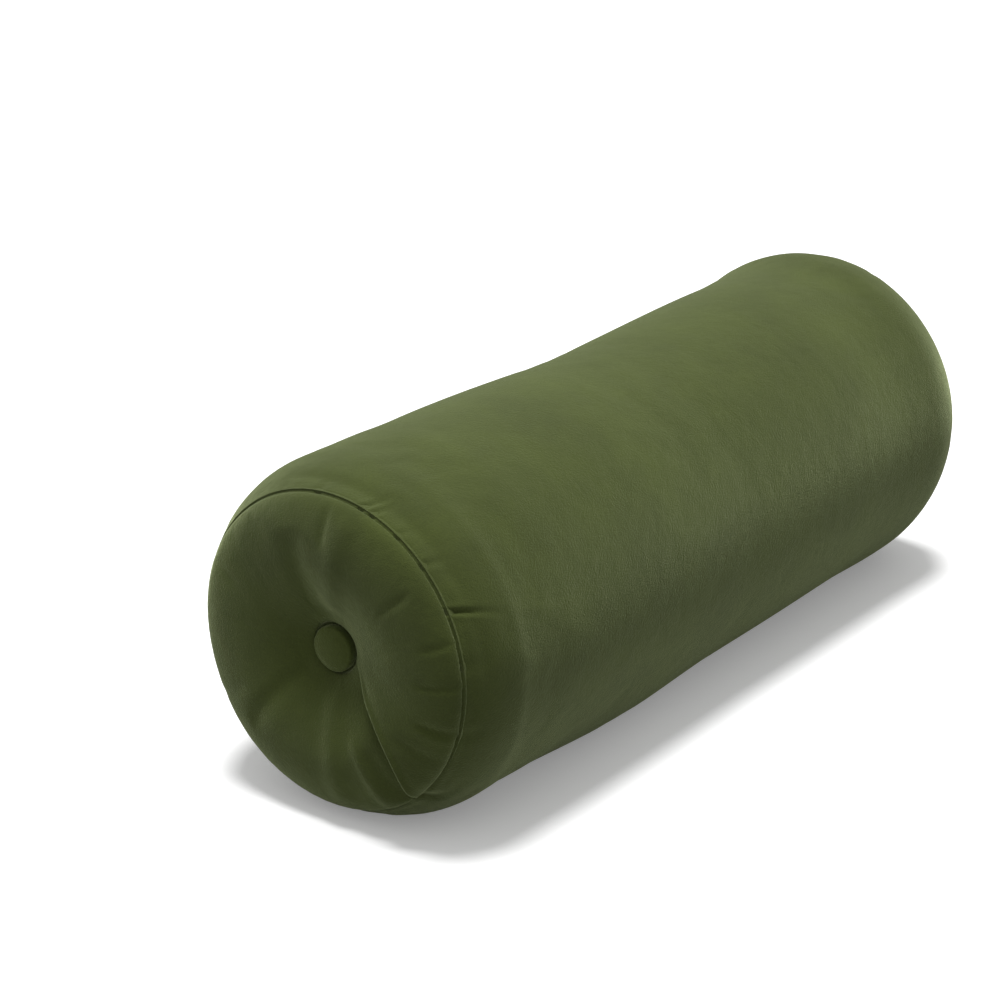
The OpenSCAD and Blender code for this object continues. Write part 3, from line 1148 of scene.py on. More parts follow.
@dataclass
class Cover:
    """The velvet cover: a tube, two end discs and the stitches that join them."""

    bag: Bag
    finishes: "Wardrobe"
    thickness: float = 1.6 * MM
    lip_turn: float = 0.9 * MM
    stitch_row: float = 9.5 * MM
    stitch_press: float = 0.35 * MM
    allowance: float = 9 * MM
    stitches: int = 72

    def tube(self) -> bpy.types.Object:
        """The velvet tube, with its opening for the zip and its turned seam allowances."""
        line = self.bag.outline
        rows = self.bag.tube()
        across = np.abs(rows[..., 2] - line.axis_z)
        behind = rows[..., 1] > 0
        slot_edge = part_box("zip_slider")[1][2] - line.axis_z + 1.7 * MM
        window = ease((line.slot_half_len + 5 * MM - np.abs(rows[..., 0])) / (4 * MM)) * behind
        beyond = np.abs(rows[..., 0]) - line.slot_half_len
        past = np.hypot(np.clip(across - slot_edge, 0, None), np.clip(beyond, 0, None))
        lip = self.lip_turn * hump(past, 0.9 * MM)
        press = self.stitch_press * hump(across - self.stitch_row, 0.8 * MM)
        rows[..., 1] -= window * (lip + press)
        piece = cloth_from_rows(rows, "velvet_tube")
        self.open_slot(piece, slot_edge)
        thicken(piece, self.thickness)
        inner_r = line.seam_r - 0.25 * MM
        section = [
            (inner_r, -0.8 * MM),
            (inner_r + self.thickness, -0.8 * MM),
            (inner_r + self.thickness, -self.allowance),
            (inner_r, -self.allowance),
        ]
        parts = [piece] + [self.band(end, section) for end in End]
        piece = joined(parts, "velvet_tube")
        self.finish(piece, "cover_tube")
        return piece

    def open_slot(self, piece: bpy.types.Object, slot_edge: float) -> None:
        """Cuts the faces out of the tube where the zip shows."""
        line = self.bag.outline

        def over_zip(face: bpy.types.MeshPolygon) -> bool:
            """Whether a face lies in the opening."""
            x, y, z = face.center
            beside = abs(z - line.axis_z) < slot_edge - 0.3 * MM
            return y > 0 and abs(x) < line.slot_half_len and beside

        choose_faces(piece, over_zip)
        bpy.ops.mesh.delete(type="FACE")
        bpy.ops.object.mode_set(mode="OBJECT")

    def band(self, end: End, section: list[tuple[float, float]]) -> bpy.types.Object:
        """A turned seam allowance: a closed ring of cloth inside the seam."""
        rows = self.bag.ring(end, section, 3)
        ring = cloth_from_rows(rows[:: end.value], "allowance", looped=True)
        close_up(ring)
        return ring

    def disc(self, end: End) -> bpy.types.Object:
        """The velvet disc over one end, with its turned seam allowance."""
        line = self.bag.outline
        rows = self.bag.disc(end)
        if end is End.FAR:
            rows = rows[::-1]
        piece = cloth_from_rows(rows, f"velvet_end_{end.label}")
        thicken(piece, self.thickness)
        outer_r = line.seam_r - 0.25 * MM
        section = [
            (outer_r - self.thickness, -0.6 * MM),
            (outer_r, -0.6 * MM),
            (outer_r, -self.allowance),
            (outer_r - self.thickness, -self.allowance),
        ]
        piece = joined([piece, self.band(end, section)], f"velvet_end_{end.label}")
        self.finish(piece, f"end_panel_{end.label}")
        return piece

    def finish(self, piece: bpy.types.Object, node: str) -> None:
        """Smooths and dresses a velvet piece and puts it in the place of its node."""
        smooth(piece, 62)
        dress(piece, self.finishes["velvet"])
        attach(piece, "pillow")
        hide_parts(node)

    def seam_stitches(self, end: End) -> bpy.types.Object:
        """The stitches through the two seam allowances of one end."""
        low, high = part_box(f"seam_thread_{end.label}")
        centre_x = (low[0] + high[0]) / 2
        outer_r = high[1]
        stitch = thread_stitch(3.6 * MM, 0.34 * MM)
        places = [
            Matrix.Translation((centre_x, 0, self.bag.outline.axis_z))
            @ Matrix.Rotation(2 * math.pi * k / self.stitches, 4, "X")
            @ Matrix.Translation((0, 0, outer_r - 1.9 * MM))
            @ Matrix.Rotation(math.pi / 2, 4, "Y")
            for k in range(self.stitches)
        ]
        piece = copies(stitch, places, f"seam_stitches_{end.label}")
        smooth(piece)
        dress(piece, self.finishes["thread"])
        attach(piece, "pillow")
        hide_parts(f"seam_thread_{end.label}")
        return piece

    def build(self) -> list[bpy.types.Object]:
        """Makes every piece of the cover."""
        pieces = [self.tube()]
        for end in End:
            pieces += [self.disc(end), self.seam_stitches(end)]
        return pieces


def thread_stitch(length: float, radius: float) -> bpy.types.Object:
    """One sewn stitch along X at the origin: a plump thread with narrowed ends.

    Args:
        length: Its length, in metres.
        radius: The thread's radius, in metres.

    Returns:
        The stitch, to be copied.
    """
    bpy.ops.object.select_all(action="DESELECT")
    bpy.ops.mesh.primitive_uv_sphere_add(segments=8, ring_count=6, radius=radius)
    stitch = named(bpy.context.object, "stitch")
    bpy.ops.object.mode_set(mode="EDIT")
    bpy.ops.mesh.select_all(action="SELECT")
    bpy.ops.transform.rotate(value=math.pi / 2, orient_axis="Y", center_override=(0, 0, 0))
    bpy.ops.transform.resize(value=(length / (2 * radius), 1, 1), center_override=(0, 0, 0))
    bpy.ops.object.mode_set(mode="OBJECT")
    return stitch


# ---------------------------------------------------------------------------------------------
# The filling
# ---------------------------------------------------------------------------------------------


@dataclass
class Filling:
    """What the cover holds: a cotton liner over wadding, round the foam core."""

    bag: Bag
    finishes: "Wardrobe"
    liner_t: float = 0.6 * MM
    nose_r: float = 83.9 * MM
    step_back: float = 9.4 * MM
    liner_join_r: float = 80 * MM
    zip_flat: float = 94 * MM
    zip_flat_half: float = 205 * MM

    def clear_of_zip(self, rows: np.ndarray, extra: float) -> np.ndarray:
        """Rows kept flat behind the zip."""
        beyond = np.clip(np.abs(rows[..., 0]) - self.zip_flat_half, 0, None)
        limit = self.zip_flat - extra + 1.2 * beyond
        rows = rows.copy()
        rows[..., 1] = np.minimum(rows[..., 1], limit)
        return rows

    def coarse(self, rows: np.ndarray) -> np.ndarray:
        """Every other row and column, which is fine enough for a hidden layer."""
        last = [len(rows) - 1] if len(rows) % 2 == 0 else []
        return rows[list(range(0, len(rows), 2)) + last][:, ::2]

    def nose(self, end: End, depth: float) -> np.ndarray:
        """The disc's rows from the join with the liner's end out over its shoulder."""
        rows = self.bag.disc(end, depth)
        return rows[self.bag.profile[:, 0] >= self.liner_join_r - 0.5 * MM][:-6]

    def body(self, depth: float) -> np.ndarray:
        """The tube's rows at a depth, between the two seam allowances."""
        inside = np.abs(self.bag.stations) < self.bag.outline.half - self.step_back
        return self.clear_of_zip(self.bag.tube(depth)[inside], depth - Layer.LINER.value)

    def liner_tube(self) -> bpy.types.Object:
        """The cotton liner round the wadding, stepped in past the seam allowances."""
        depth = Layer.LINER.value
        step = [(self.nose_r, -self.step_back)]
        rows = [
            self.coarse(self.nose(End.NEAR, depth)),
            self.round_rows(End.NEAR, step),
            self.coarse(self.body(depth)),
            self.round_rows(End.FAR, step),
            self.coarse(self.nose(End.FAR, depth)[::-1]),
        ]
        piece = cloth_from_rows(np.concatenate(rows), "cotton_liner_tube")
        add_modifier(piece, "SOLIDIFY", thickness=self.liner_t, offset=-1.0, use_even_offset=False)
        return self.finish(piece, "cotton", "cotton_liner", "liner_tube", pad=False)

    def round_rows(self, end: End, section: list[tuple[float, float]]) -> np.ndarray:
        """Plain round rows on every other column."""
        return self.bag.ring(end, section, 2)

    def liner_end(self, end: End) -> bpy.types.Object:
        """The liner's disc under one end, pierced for the button's shank."""
        rows = self.bag.disc(end, Layer.LINER.value)
        rows = self.coarse(rows[self.bag.profile[:, 0] < self.liner_join_r - 0.5 * MM])
        if end is End.FAR:
            rows = rows[::-1]
        piece = cloth_from_rows(rows, f"cotton_liner_end_{end.label}")
        add_modifier(piece, "SOLIDIFY", thickness=self.liner_t, offset=-1.0, use_even_offset=False)
        return self.finish(piece, "cotton", "cotton_liner", f"liner_end_{end.label}", pad=False)

    def wadding_wrap(self) -> bpy.types.Object:
        """The sleeve of wadding between the foam core and the liner."""
        line = self.bag.outline
        core_low, core_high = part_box("foam_core")
        core_r = (core_high[2] - core_low[2]) / 2 + 0.15 * MM
        core_out = core_high[0] - line.half + 0.1 * MM
        mouth = [(self.nose_r - 0.8 * MM, -self.step_back - 0.8 * MM)]
        shelf = [(self.nose_r - 0.8 * MM, core_out), (core_r, core_out)]
        rows = [
            self.round_rows(End.NEAR, shelf[::-1] + mouth),
            self.coarse(self.body(Layer.WADDING.value)),
            self.round_rows(End.FAR, mouth + shelf),
        ]
        piece = cloth_from_rows(np.concatenate(rows), "wadding_sleeve", looped=True)
        return self.finish(piece, "wadding", "wadding", "wadding_wrap")

    def wadding_end(self, end: End) -> bpy.types.Object:
        """The pad of wadding over one end of the foam core."""
        line = self.bag.outline
        rows = self.coarse(self.bag.disc(end, Layer.WADDING.value)[:-6])
        back = abs(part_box(f"wadding_end_{end.label}")[0 if end is End.FAR else 1][0]) - line.half
        inner = self.round_rows(end, [(self.nose_r - 0.9 * MM, back), (4.4 * MM, back)])
        rows = np.concatenate([rows, inner])
        if end is End.FAR:
            rows = rows[::-1]
        piece = cloth_from_rows(rows, f"wadding_pad_{end.label}", looped=True)
        return self.finish(piece, "wadding", "wadding", f"wadding_end_{end.label}")

    def finish(
        self, piece: bpy.types.Object, finish: str, slot: str, node: str, pad: bool = True
    ) -> bpy.types.Object:
        """Smooths and dresses a layer and puts it in the place of its node."""
        smooth(piece, 50)
        dress(piece, self.finishes[finish])
        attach(piece, "pillow")
        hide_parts(node)
        return piece

    def build(self) -> list[bpy.types.Object]:
        """Makes every soft layer of the filling."""
        pieces = [self.liner_tube(), self.wadding_wrap()]
        for end in End:
            pieces += [self.liner_end(end), self.wadding_end(end)]
        return pieces


# ---------------------------------------------------------------------------------------------
# The buttons
# ---------------------------------------------------------------------------------------------


@dataclass
class ButtonCloth:
    """The velvet stretched over one end's tufting button."""

    end: End
    finishes: "Wardrobe"
    thickness: float = 1.0 * MM
    edge: float = 1.7 * MM
    mouth_r: float = 10.8 * MM
    gathers: int = 17
    gather_depth: float = 0.16 * MM
    columns: int = 168

    def profile(self) -> list[tuple[float, float]]:
        """Radius and height of each ring, from the middle of the dome to the turned edge."""
        low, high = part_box(f"button_cloth_{self.end.label}")
        radius = high[1]
        base, top = sorted((abs(low[0]), abs(high[0])))
        dome = [(t, top - 1.9 * MM * t**2.4) for t in np.linspace(0.04, 1, 16)]
        rings = [(t * (radius - self.edge), z) for t, z in dome]
        shoulder = rings[-1][1]
        for turn in np.linspace(0, math.pi / 2, 8)[1:]:
            rings.append(
                (
                    radius - self.edge + self.edge * math.sin(turn),
                    shoulder - self.edge * (1 - math.cos(turn)),
                )
            )
        side = rings[-1][1]
        rings += [(radius, side + t * (base + 0.7 * MM - side)) for t in (0.33, 0.66, 1.0)]
        rings += [(radius - 0.25 * MM, base + 0.2 * MM), (radius - 0.8 * MM, base)]
        rings += [(r, base) for r in np.linspace(radius - 1.6 * MM, self.mouth_r, 4)]
        return rings

    def build(self) -> bpy.types.Object:
        """Makes the cloth, with the small gathers that its turned edge pulls over the rim."""
        low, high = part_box(f"button_cloth_{self.end.label}")
        axis_z = (low[2] + high[2]) / 2
        radius = high[1]
        rng = np.random.default_rng(SEED + 20 + self.end.value)
        phi = np.linspace(0, 2 * math.pi, self.columns, endpoint=False)
        pull = sum(
            rng.uniform(0.3, 1.0) * hump(wrap(phi - at), rng.uniform(0.05, 0.1))
            for at in rng.uniform(0, 2 * math.pi, self.gathers)
        )
        drape = 0.12 * MM * np.sin(2 * phi + 0.7) + 0.08 * MM * np.sin(3 * phi + 2.0)
        rows = []
        for r, height in self.profile():
            rim = float(ease(np.array((r / radius - 0.62) / 0.38)))
            lower = height - (self.gather_depth * pull * rim + (0.1 * MM - drape) * rim)
            narrow = r - self.gather_depth * 0.8 * pull * rim
            rows.append(
                np.stack(
                    [
                        self.end.value * np.broadcast_to(lower, phi.shape),
                        narrow * np.cos(phi),
                        axis_z + narrow * np.sin(phi),
                    ],
                    axis=-1,
                )
            )
        rows = np.array(rows)
        if self.end is End.FAR:
            rows = rows[::-1]
        caps = (self.end is End.NEAR, self.end is End.FAR)
        piece = cloth_from_rows(rows, f"button_velvet_{self.end.label}", caps=caps)
        thicken(piece, self.thickness)
        smooth(piece, 70)
        dress(piece, self.finishes["button_velvet"])
        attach(piece, f"{self.end.label}_button")
        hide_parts(f"button_cloth_{self.end.label}")
        return piece


# ---------------------------------------------------------------------------------------------
# The zip
# ---------------------------------------------------------------------------------------------


def block(low: tuple, high: tuple, bevel: float, name: str = "block") -> bpy.types.Object:
    """A block between two corners with rounded edges.

    Args:
        low: Its lowest corner, in metres.
        high: Its highest corner, in metres.
        bevel: The edges' radius, in metres.
        name: Its name.

    Returns:
        The block, with its place in its mesh.
    """
    size = [h - l for l, h in zip(low, high)]
    middle = [(h + l) / 2 for l, h in zip(low, high)]
    bpy.ops.object.select_all(action="DESELECT")
    bpy.ops.mesh.primitive_cube_add(size=1, location=middle)
    piece = named(bpy.context.object, name)
    piece.scale = size
    settle_place(piece)
    if bevel > 0:
        add_modifier(piece, "BEVEL", width=bevel, segments=3, limit_method="ANGLE")
    return piece


@dataclass
class Zip:
    """The coil zip along the back of the tube."""

    bag: Bag
    finishes: "Wardrobe"
    pitch: float = 1.5 * MM
    wire: float = 0.31 * MM
    overlap: float = 0.35 * MM
    stitch_pitch: float = 3.2 * MM

    def tape(self, side: str) -> bpy.types.Object:
        """One woven tape, gently rippled and ribbed, with its edge beside the coil set back a
        little.
        """
        low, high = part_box(f"zip_tape_{side}")
        x = np.linspace(low[0], high[0], 260)[:, None]
        z = np.linspace(low[2], high[2], 13)[None]
        inner = low[2] if side == "upper" else high[2]
        away = np.abs(z - inner) / (high[2] - low[2])
        ripple = 0.1 * MM * np.sin(190 * x + 3 * z / MM * 0.05) * away
        rib = 0.08 * MM * np.cos(away * 40) * (away > 0.15)
        y = high[1] - 0.15 * MM + ripple + rib - 0.12 * MM * (away < 0.1)
        rows = np.stack([x + 0 * z, y, z + 0 * x], axis=-1)
        piece = cloth_from_rows(rows, f"woven_tape_{side}", around=False)
        add_modifier(piece, "SOLIDIFY", thickness=0.5 * MM, offset=-1.0)
        smooth(piece, 50)
        return self.fit(piece, "tape", f"zip_tape_{side}")

    def coil(self, side: str) -> bpy.types.Object:
        """One row of nylon teeth: a long flattened spiral of wire."""
        low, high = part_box(f"zip_coil_{side}")
        upper = side == "upper"
        inner = -self.overlap if upper else self.overlap
        axis_z = self.bag.outline.axis_z
        edges = (axis_z + inner, high[2]) if upper else (low[2], axis_z + inner)
        turns = int((high[0] - low[0]) / self.pitch) - 1
        bpy.ops.object.select_all(action="DESELECT")
        bpy.ops.mesh.primitive_circle_add(
            vertices=6, radius=self.wire, location=(0, 0, MM), rotation=(math.pi / 2, 0, 0)
        )
        piece = named(bpy.context.object, f"nylon_coil_{side}")
        settle_place(piece)
        add_modifier(
            piece,
            "SCREW",
            axis="X",
            screw_offset=self.pitch,
            iterations=turns,
            steps=8,
            render_steps=8,
            use_normal_calculate=False,
        )
        self.close_ends(piece)
        reach = MM + self.wire
        piece.scale = (
            1,
            (high[1] - low[1]) / 2 / reach,
            (edges[1] - edges[0]) / 2 / reach,
        )
        start = low[0] + self.pitch * (0.75 if upper else 1.25)
        piece.location = (start, (low[1] + high[1]) / 2, (edges[0] + edges[1]) / 2)
        settle_place(piece)
        close_up(piece, 1e-7)
        smooth(piece)
        return self.fit(piece, "coil", f"zip_coil_{side}")

    def close_ends(self, piece: bpy.types.Object) -> None:
        """Closes over the two cut ends of a wire."""
        select_only(piece)
        bpy.ops.object.mode_set(mode="EDIT")
        bpy.ops.mesh.select_mode(type="EDGE")
        bpy.ops.mesh.select_all(action="DESELECT")
        bpy.ops.mesh.select_non_manifold()
        bpy.ops.mesh.edge_face_add()
        bpy.ops.object.mode_set(mode="OBJECT")

    def slider(self) -> bpy.types.Object:
        """The slider: shaped top and bottom plates, side guides, a divider and a bridge."""
        low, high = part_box("zip_slider")
        axis_z = self.bag.outline.axis_z
        plate = high[1] - 4.1 * MM
        mid_x = (low[0] + high[0]) / 2
        parts = []
        lower = (low[1], low[1] + 0.9 * MM, 0.84)
        upper = (plate, plate + 1.0 * MM, 0.76)
        for bottom, top, narrow in (lower, upper):
            part = block((low[0], bottom, low[2]), (high[0], top, high[2]), 0)
            self.shape_plate(part, low[0], axis_z, narrow)
            add_modifier(part, "BEVEL", width=0.32 * MM, segments=3, limit_method="ANGLE")
            parts.append(part)
        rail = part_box("zip_coil_upper")[0][1] + 0.2 * MM
        for z in (low[2], high[2] - 1.2 * MM):
            start = (mid_x - 3.6 * MM, rail, z + 0.1 * MM)
            parts.append(block(start, (high[0], plate, z + 1.1 * MM), 0.2 * MM))
        parts.append(
            block(
                (high[0] - 3.2 * MM, low[1] + 0.5 * MM, axis_z - 0.34 * MM),
                (high[0] - 0.5 * MM, plate + 0.2 * MM, axis_z + 0.34 * MM),
                0.1 * MM,
            )
        )
        bridge = high[1]
        for x in (mid_x - 3.4 * MM, mid_x + 2.4 * MM):
            parts.append(
                block(
                    (x, plate + 0.8 * MM, axis_z - 1.3 * MM),
                    (x + 1.0 * MM, bridge - 0.3 * MM, axis_z + 1.3 * MM),
                    0.22 * MM,
                )
            )
        parts.append(
            block(
                (mid_x - 3.4 * MM, bridge - 1.0 * MM, axis_z - 1.3 * MM),
                (mid_x + 3.4 * MM, bridge, axis_z + 1.3 * MM),
                0.35 * MM,
            )
        )
        piece = joined(parts, "brass_slider")
        smooth(piece, 40)
        return self.fit(piece, "zip_metal", "zip_slider", body="slider")

    def shape_plate(
        self, part: bpy.types.Object, back_x: float, axis_z: float, narrow: float
    ) -> None:
        """Narrows a plate towards its back end, in two steps, in edit mode."""
        select_only(part)
        bpy.ops.object.mode_set(mode="EDIT")
        bpy.ops.mesh.select_all(action="SELECT")
        bpy.ops.mesh.subdivide(number_cuts=3)
        bpy.ops.mesh.select_mode(type="VERT")
        bpy.ops.object.mode_set(mode="OBJECT")
        front_x = max(point.co.x for point in part.data.vertices)
        for share, factor in ((0.02, narrow), (0.27, 0.5 + narrow / 2)):
            bpy.ops.object.mode_set(mode="EDIT")
            bpy.ops.mesh.select_all(action="DESELECT")
            bpy.ops.object.mode_set(mode="OBJECT")
            for point in part.data.vertices:
                place = (point.co.x - back_x) / (front_x - back_x)
                point.select = abs(place - share) < 0.05
            bpy.ops.object.mode_set(mode="EDIT")
            bpy.ops.transform.resize(value=(1, 1, factor), center_override=(0, 0, axis_z))
            bpy.ops.object.mode_set(mode="OBJECT")

    def pull(self) -> bpy.types.Object:
        """The pull: a drop-shaped tab with a sunk grip, hung on the slider's bridge by its eye."""
        low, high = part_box("zip_pull")
        axis_z = self.bag.outline.axis_z
        hinge_x = frame_joint("pull_swing")[0]
        half = (high[2] - low[2]) / 2
        thick = (low[1], high[1])
        arm = half - 1.7 * MM
        parts = [
            block(
                (hinge_x - 4.8 * MM, thick[0] + 0.05 * MM, z),
                (hinge_x, thick[1] - 0.05 * MM, z + arm),
                0.25 * MM,
            )
            for z in (low[2], high[2] - arm)
        ]
        bpy.ops.object.select_all(action="DESELECT")
        bpy.ops.mesh.primitive_cylinder_add(
            vertices=24,
            radius=(thick[1] - thick[0]) / 2,
            depth=2 * half,
            location=(hinge_x, sum(thick) / 2, axis_z),
        )
        pin = bpy.context.object
        settle_place(pin)
        add_modifier(pin, "BEVEL", width=0.15 * MM, segments=2, limit_method="ANGLE")
        parts += [pin, self.tab(low, hinge_x - 4.4 * MM, half, thick)]
        piece = joined(parts, "brass_pull")
        smooth(piece, 40)
        return self.fit(piece, "zip_metal", "zip_pull", body="pull")

    def tab(self, low: tuple, front_x: float, half: float, thick: tuple) -> bpy.types.Object:
        """The pull's flat tab: a rounded drop whose two faces are sunk."""
        axis_z = self.bag.outline.axis_z
        bpy.ops.object.select_all(action="DESELECT")
        bpy.ops.mesh.primitive_cylinder_add(
            vertices=32,
            radius=half,
            depth=thick[1] - thick[0],
            location=(low[0] + half, sum(thick) / 2, axis_z),
            rotation=(math.pi / 2, 0, 0),
        )
        tab = bpy.context.object
        settle_place(tab)
        for point in tab.data.vertices:
            if point.co.x > low[0] + half + 0.1 * MM:
                side = (point.co.z - axis_z) / half
                point.co.x = front_x
                point.co.z = axis_z + half * (0.96 if side > 0 else -0.96 if side < 0 else 0) * min(
                    1.0, abs(side) * 1.6
                )
        choose_faces(tab, lambda face: abs(face.normal.y) > 0.9)
        bpy.ops.mesh.inset(thickness=0.7 * MM, depth=0)
        bpy.ops.mesh.inset(thickness=0.2 * MM, depth=-0.2 * MM)
        bpy.ops.object.mode_set(mode="OBJECT")
        add_modifier(tab, "BEVEL", width=0.1 * MM, segments=2, limit_method="ANGLE")
        return tab

    def topstitching(self) -> bpy.types.Object:
        """The stitches that hold the tapes under the opening's edges, with a bar at each end."""
        line = self.bag.outline
        cover_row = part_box("zip_thread")[1][2] - line.axis_z - 0.4 * MM
        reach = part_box("zip_thread")[1][0] - 0.4 * MM
        places = []
        for side in (-1, 1):
            phi = math.asin(side * cover_row / line.body_r)
            for x in np.arange(-reach + self.stitch_pitch / 2, reach, self.stitch_pitch):
                x_y_z = line.tube(np.array([x]), np.array([phi]))[0]
                tilt = Matrix.Rotation(0.12 * side, 4, "Y")
                spot = Vector((x, x_y_z[1] - 0.42 * MM, x_y_z[2]))
                places.append(Matrix.Translation(spot) @ tilt)
        across = np.arange(-cover_row + 1.2 * MM, cover_row, 2.4 * MM)
        for x in (-reach, reach):
            for z in across:
                y = math.sqrt(line.body_r**2 - z**2) - 0.3 * MM
                spot = Vector((x, y, line.axis_z + z))
                places.append(Matrix.Translation(spot) @ Matrix.Rotation(math.pi / 2, 4, "Y"))
        piece = copies(thread_stitch(2.6 * MM, 0.33 * MM), places, "zip_topstitching")
        smooth(piece)
        return self.fit(piece, "thread", "zip_thread")

    def fit(
        self, piece: bpy.types.Object, finish: str, node: str, body: str = "pillow"
    ) -> bpy.types.Object:
        """Dresses a piece of the zip and puts it in the place of its node."""
        dress(piece, self.finishes[finish])
        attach(piece, body)
        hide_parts(node)
        return piece

    def build(self) -> list[bpy.types.Object]:
        """Makes every piece of the zip."""
        pieces = [make(side) for side in ("upper", "lower") for make in (self.tape, self.coil)]
        return pieces + [self.slider(), self.pull(), self.topstitching()]


def frame_joint(name: str) -> tuple[float, float, float]:
    """Where a joint's axis stands, in metres."""
    for joint in frame["record"]["behaviour"]["joints"]:
        if joint["name"] == name:
            return tuple(joint["pos_m"])
    raise KeyError(name)


# ---------------------------------------------------------------------------------------------
# Finishes by name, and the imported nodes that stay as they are
# ---------------------------------------------------------------------------------------------


class Wardrobe:
    """Makes each finish's material once and hands it out by name."""

    def __init__(self, finishes: Finishes) -> None:
        """Takes the finishes to hand out."""
        self.finishes = finishes
        self.made: dict[str, bpy.types.Material] = {}

    def __getitem__(self, name: str) -> bpy.types.Material:
        """The material of a finish."""
        if name not in self.made:
            self.made[name] = getattr(self.finishes, name).material()
        return self.made[name]


KEPT_NODES = {
    "button_shell_near": "button_metal",
    "button_shell_far": "button_metal",
    "button_back_near": "button_metal",
    "button_back_far": "button_metal",
    "button_loop_near": "wire",
    "button_loop_far": "wire",
    "tufting_twine": "twine",
    "zip_top_stops": "zip_metal",
    "zip_bottom_stop": "zip_metal",
    "foam_core": "foam",
}


def dress_kept_nodes(finishes: Wardrobe) -> None:
    """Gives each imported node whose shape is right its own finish."""
    for name, finish in KEPT_NODES.items():
        dress(bpy.data.objects[name], finishes[finish])
        log.info("kept node %s: %s", name, finish)


# ---------------------------------------------------------------------------------------------
# The studio
# ---------------------------------------------------------------------------------------------


@dataclass(frozen=True)
class Lamp:
    """An even soft light.

    Attributes:
        strength: How strong it is.
        spread: How wide it looks, in radians.
        come_from: The direction that it shines from.
    """

    strength: float
    spread: float
    come_from: tuple[float, float, float]


OVERHEAD = Lamp(3.25, 0.32, (0.02, 0.06, 1.0))
SIDE_FILL = Lamp(0.22, 1.2, (-0.55, 0.8, 0.2))


@dataclass
class Studio:
    """A plain pale floor, soft light from above and a camera."""

    finishes: Wardrobe
    azimuth: float = -52.753
    elevation: float = 21.833
    distance: float = 1.5917
    lens: float = 95.66
    target: tuple[float, float, float] = (-0.0191, 0.0676, 0.087)
    horizon_light: float = 0.05
    zenith_light: float = 0.7

    def floor(self) -> None:
        """A wide pale floor."""
        bpy.ops.object.select_all(action="DESELECT")
        bpy.ops.mesh.primitive_plane_add(size=40, location=(0, 0, -0.0002))
        floor = named(bpy.context.object, "studio_floor")
        settle_place(floor)
        dress(floor, self.finishes["floor"])

    def add_lamp(self, name: str, lamp: Lamp) -> None:
        """Adds one even soft light over the whole studio."""
        bpy.ops.object.light_add(type="SUN", location=(0, 0, 2))
        piece = bpy.context.object
        piece.name = name
        piece.data.energy = lamp.strength
        piece.data.angle = lamp.spread
        piece.rotation_euler = Vector(lamp.come_from).to_track_quat("Z", "Y").to_euler()

    def camera(self) -> None:
        """The camera, turned and raised as the picture is taken."""
        turn, rise = math.radians(self.azimuth), math.radians(self.elevation)
        back = Vector(
            (math.sin(turn) * math.cos(rise), -math.cos(turn) * math.cos(rise), math.sin(rise))
        )
        place = Vector(self.target) + back * self.distance
        bpy.ops.object.camera_add(location=place, rotation=back.to_track_quat("Z", "Y").to_euler())
        camera = bpy.context.object
        camera.name = "studio_camera"
        camera.data.sensor_width = 36
        camera.data.lens = self.lens
        camera.data.clip_end = 60
        bpy.context.scene.camera = camera

    def sky(self) -> None:
        """A white surround whose light comes mostly from overhead."""
        world = bpy.data.worlds.new("studio_sky")
        bpy.context.scene.world = world
        world.use_nodes = True
        nodes, links = world.node_tree.nodes, world.node_tree.links
        background = nodes["Background"]
        background.inputs["Color"].default_value = (1, 1, 1, 1)
        place = nodes.new("ShaderNodeTexCoord")
        split = nodes.new("ShaderNodeSeparateXYZ")
        rise = nodes.new("ShaderNodeMapRange")
        rise.inputs["To Min"].default_value = self.horizon_light
        rise.inputs["To Max"].default_value = self.zenith_light
        seen = nodes.new("ShaderNodeLightPath")
        choose = nodes.new("ShaderNodeMix")
        choose.inputs["B"].default_value = 1.0
        links.new(place.outputs["Generated"], split.inputs[0])
        links.new(split.outputs["Z"], rise.inputs["Value"])
        links.new(rise.outputs["Result"], choose.inputs["A"])
        links.new(seen.outputs["Is Camera Ray"], choose.inputs["Factor"])
        links.new(choose.outputs["Result"], background.inputs["Strength"])

    def build(self) -> None:
        """Sets up the floor, the lights, the sky and the camera."""
        self.floor()
        self.add_lamp("overhead", OVERHEAD)
        self.add_lamp("side_fill", SIDE_FILL)
        self.sky()
        bpy.context.scene.view_settings.view_transform = "Standard"
        self.camera()


# ---------------------------------------------------------------------------------------------
# Putting it together
# ---------------------------------------------------------------------------------------------

NEAR_FOLDS = [
    Crease(75, 20 * MM, 66 * MM, 1.5 * MM, 8.5 * MM, -4),
    Crease(103, 26 * MM, 80 * MM, -1.2 * MM, 7.5 * MM, -4),
    Crease(93.5, 64 * MM, 84 * MM, 0.6 * MM, 2.4 * MM),
    Crease(140, 54 * MM, 76 * MM, 0.6 * MM, 2.2 * MM),
    Crease(162, 70 * MM, 88 * MM, 0.7 * MM, 1.5 * MM, 4, 0.4),
    Crease(178, 66 * MM, 88 * MM, 0.9 * MM, 1.6 * MM, 3, 0.7),
    Crease(-164, 68 * MM, 88 * MM, 1.3 * MM, 1.7 * MM, 3, 0.8),
    Crease(-153, 60 * MM, 84 * MM, 0.6 * MM, 2.4 * MM, 3),
    Crease(-127.5, 54 * MM, 86 * MM, 1.6 * MM, 5.0 * MM, 0, 0.3),
    Crease(-120, 46 * MM, 84 * MM, -1.0 * MM, 3.6 * MM),
    Crease(-99, 22 * MM, 78 * MM, -1.3 * MM, 7 * MM, -3),
    Crease(-48, 20 * MM, 66 * MM, 1.5 * MM, 5.5 * MM, 9, 0.2),
    Crease(-30, 60 * MM, 84 * MM, 0.5 * MM, 3 * MM),
    Crease(24, 62 * MM, 85 * MM, 0.5 * MM, 3 * MM, -4),
]
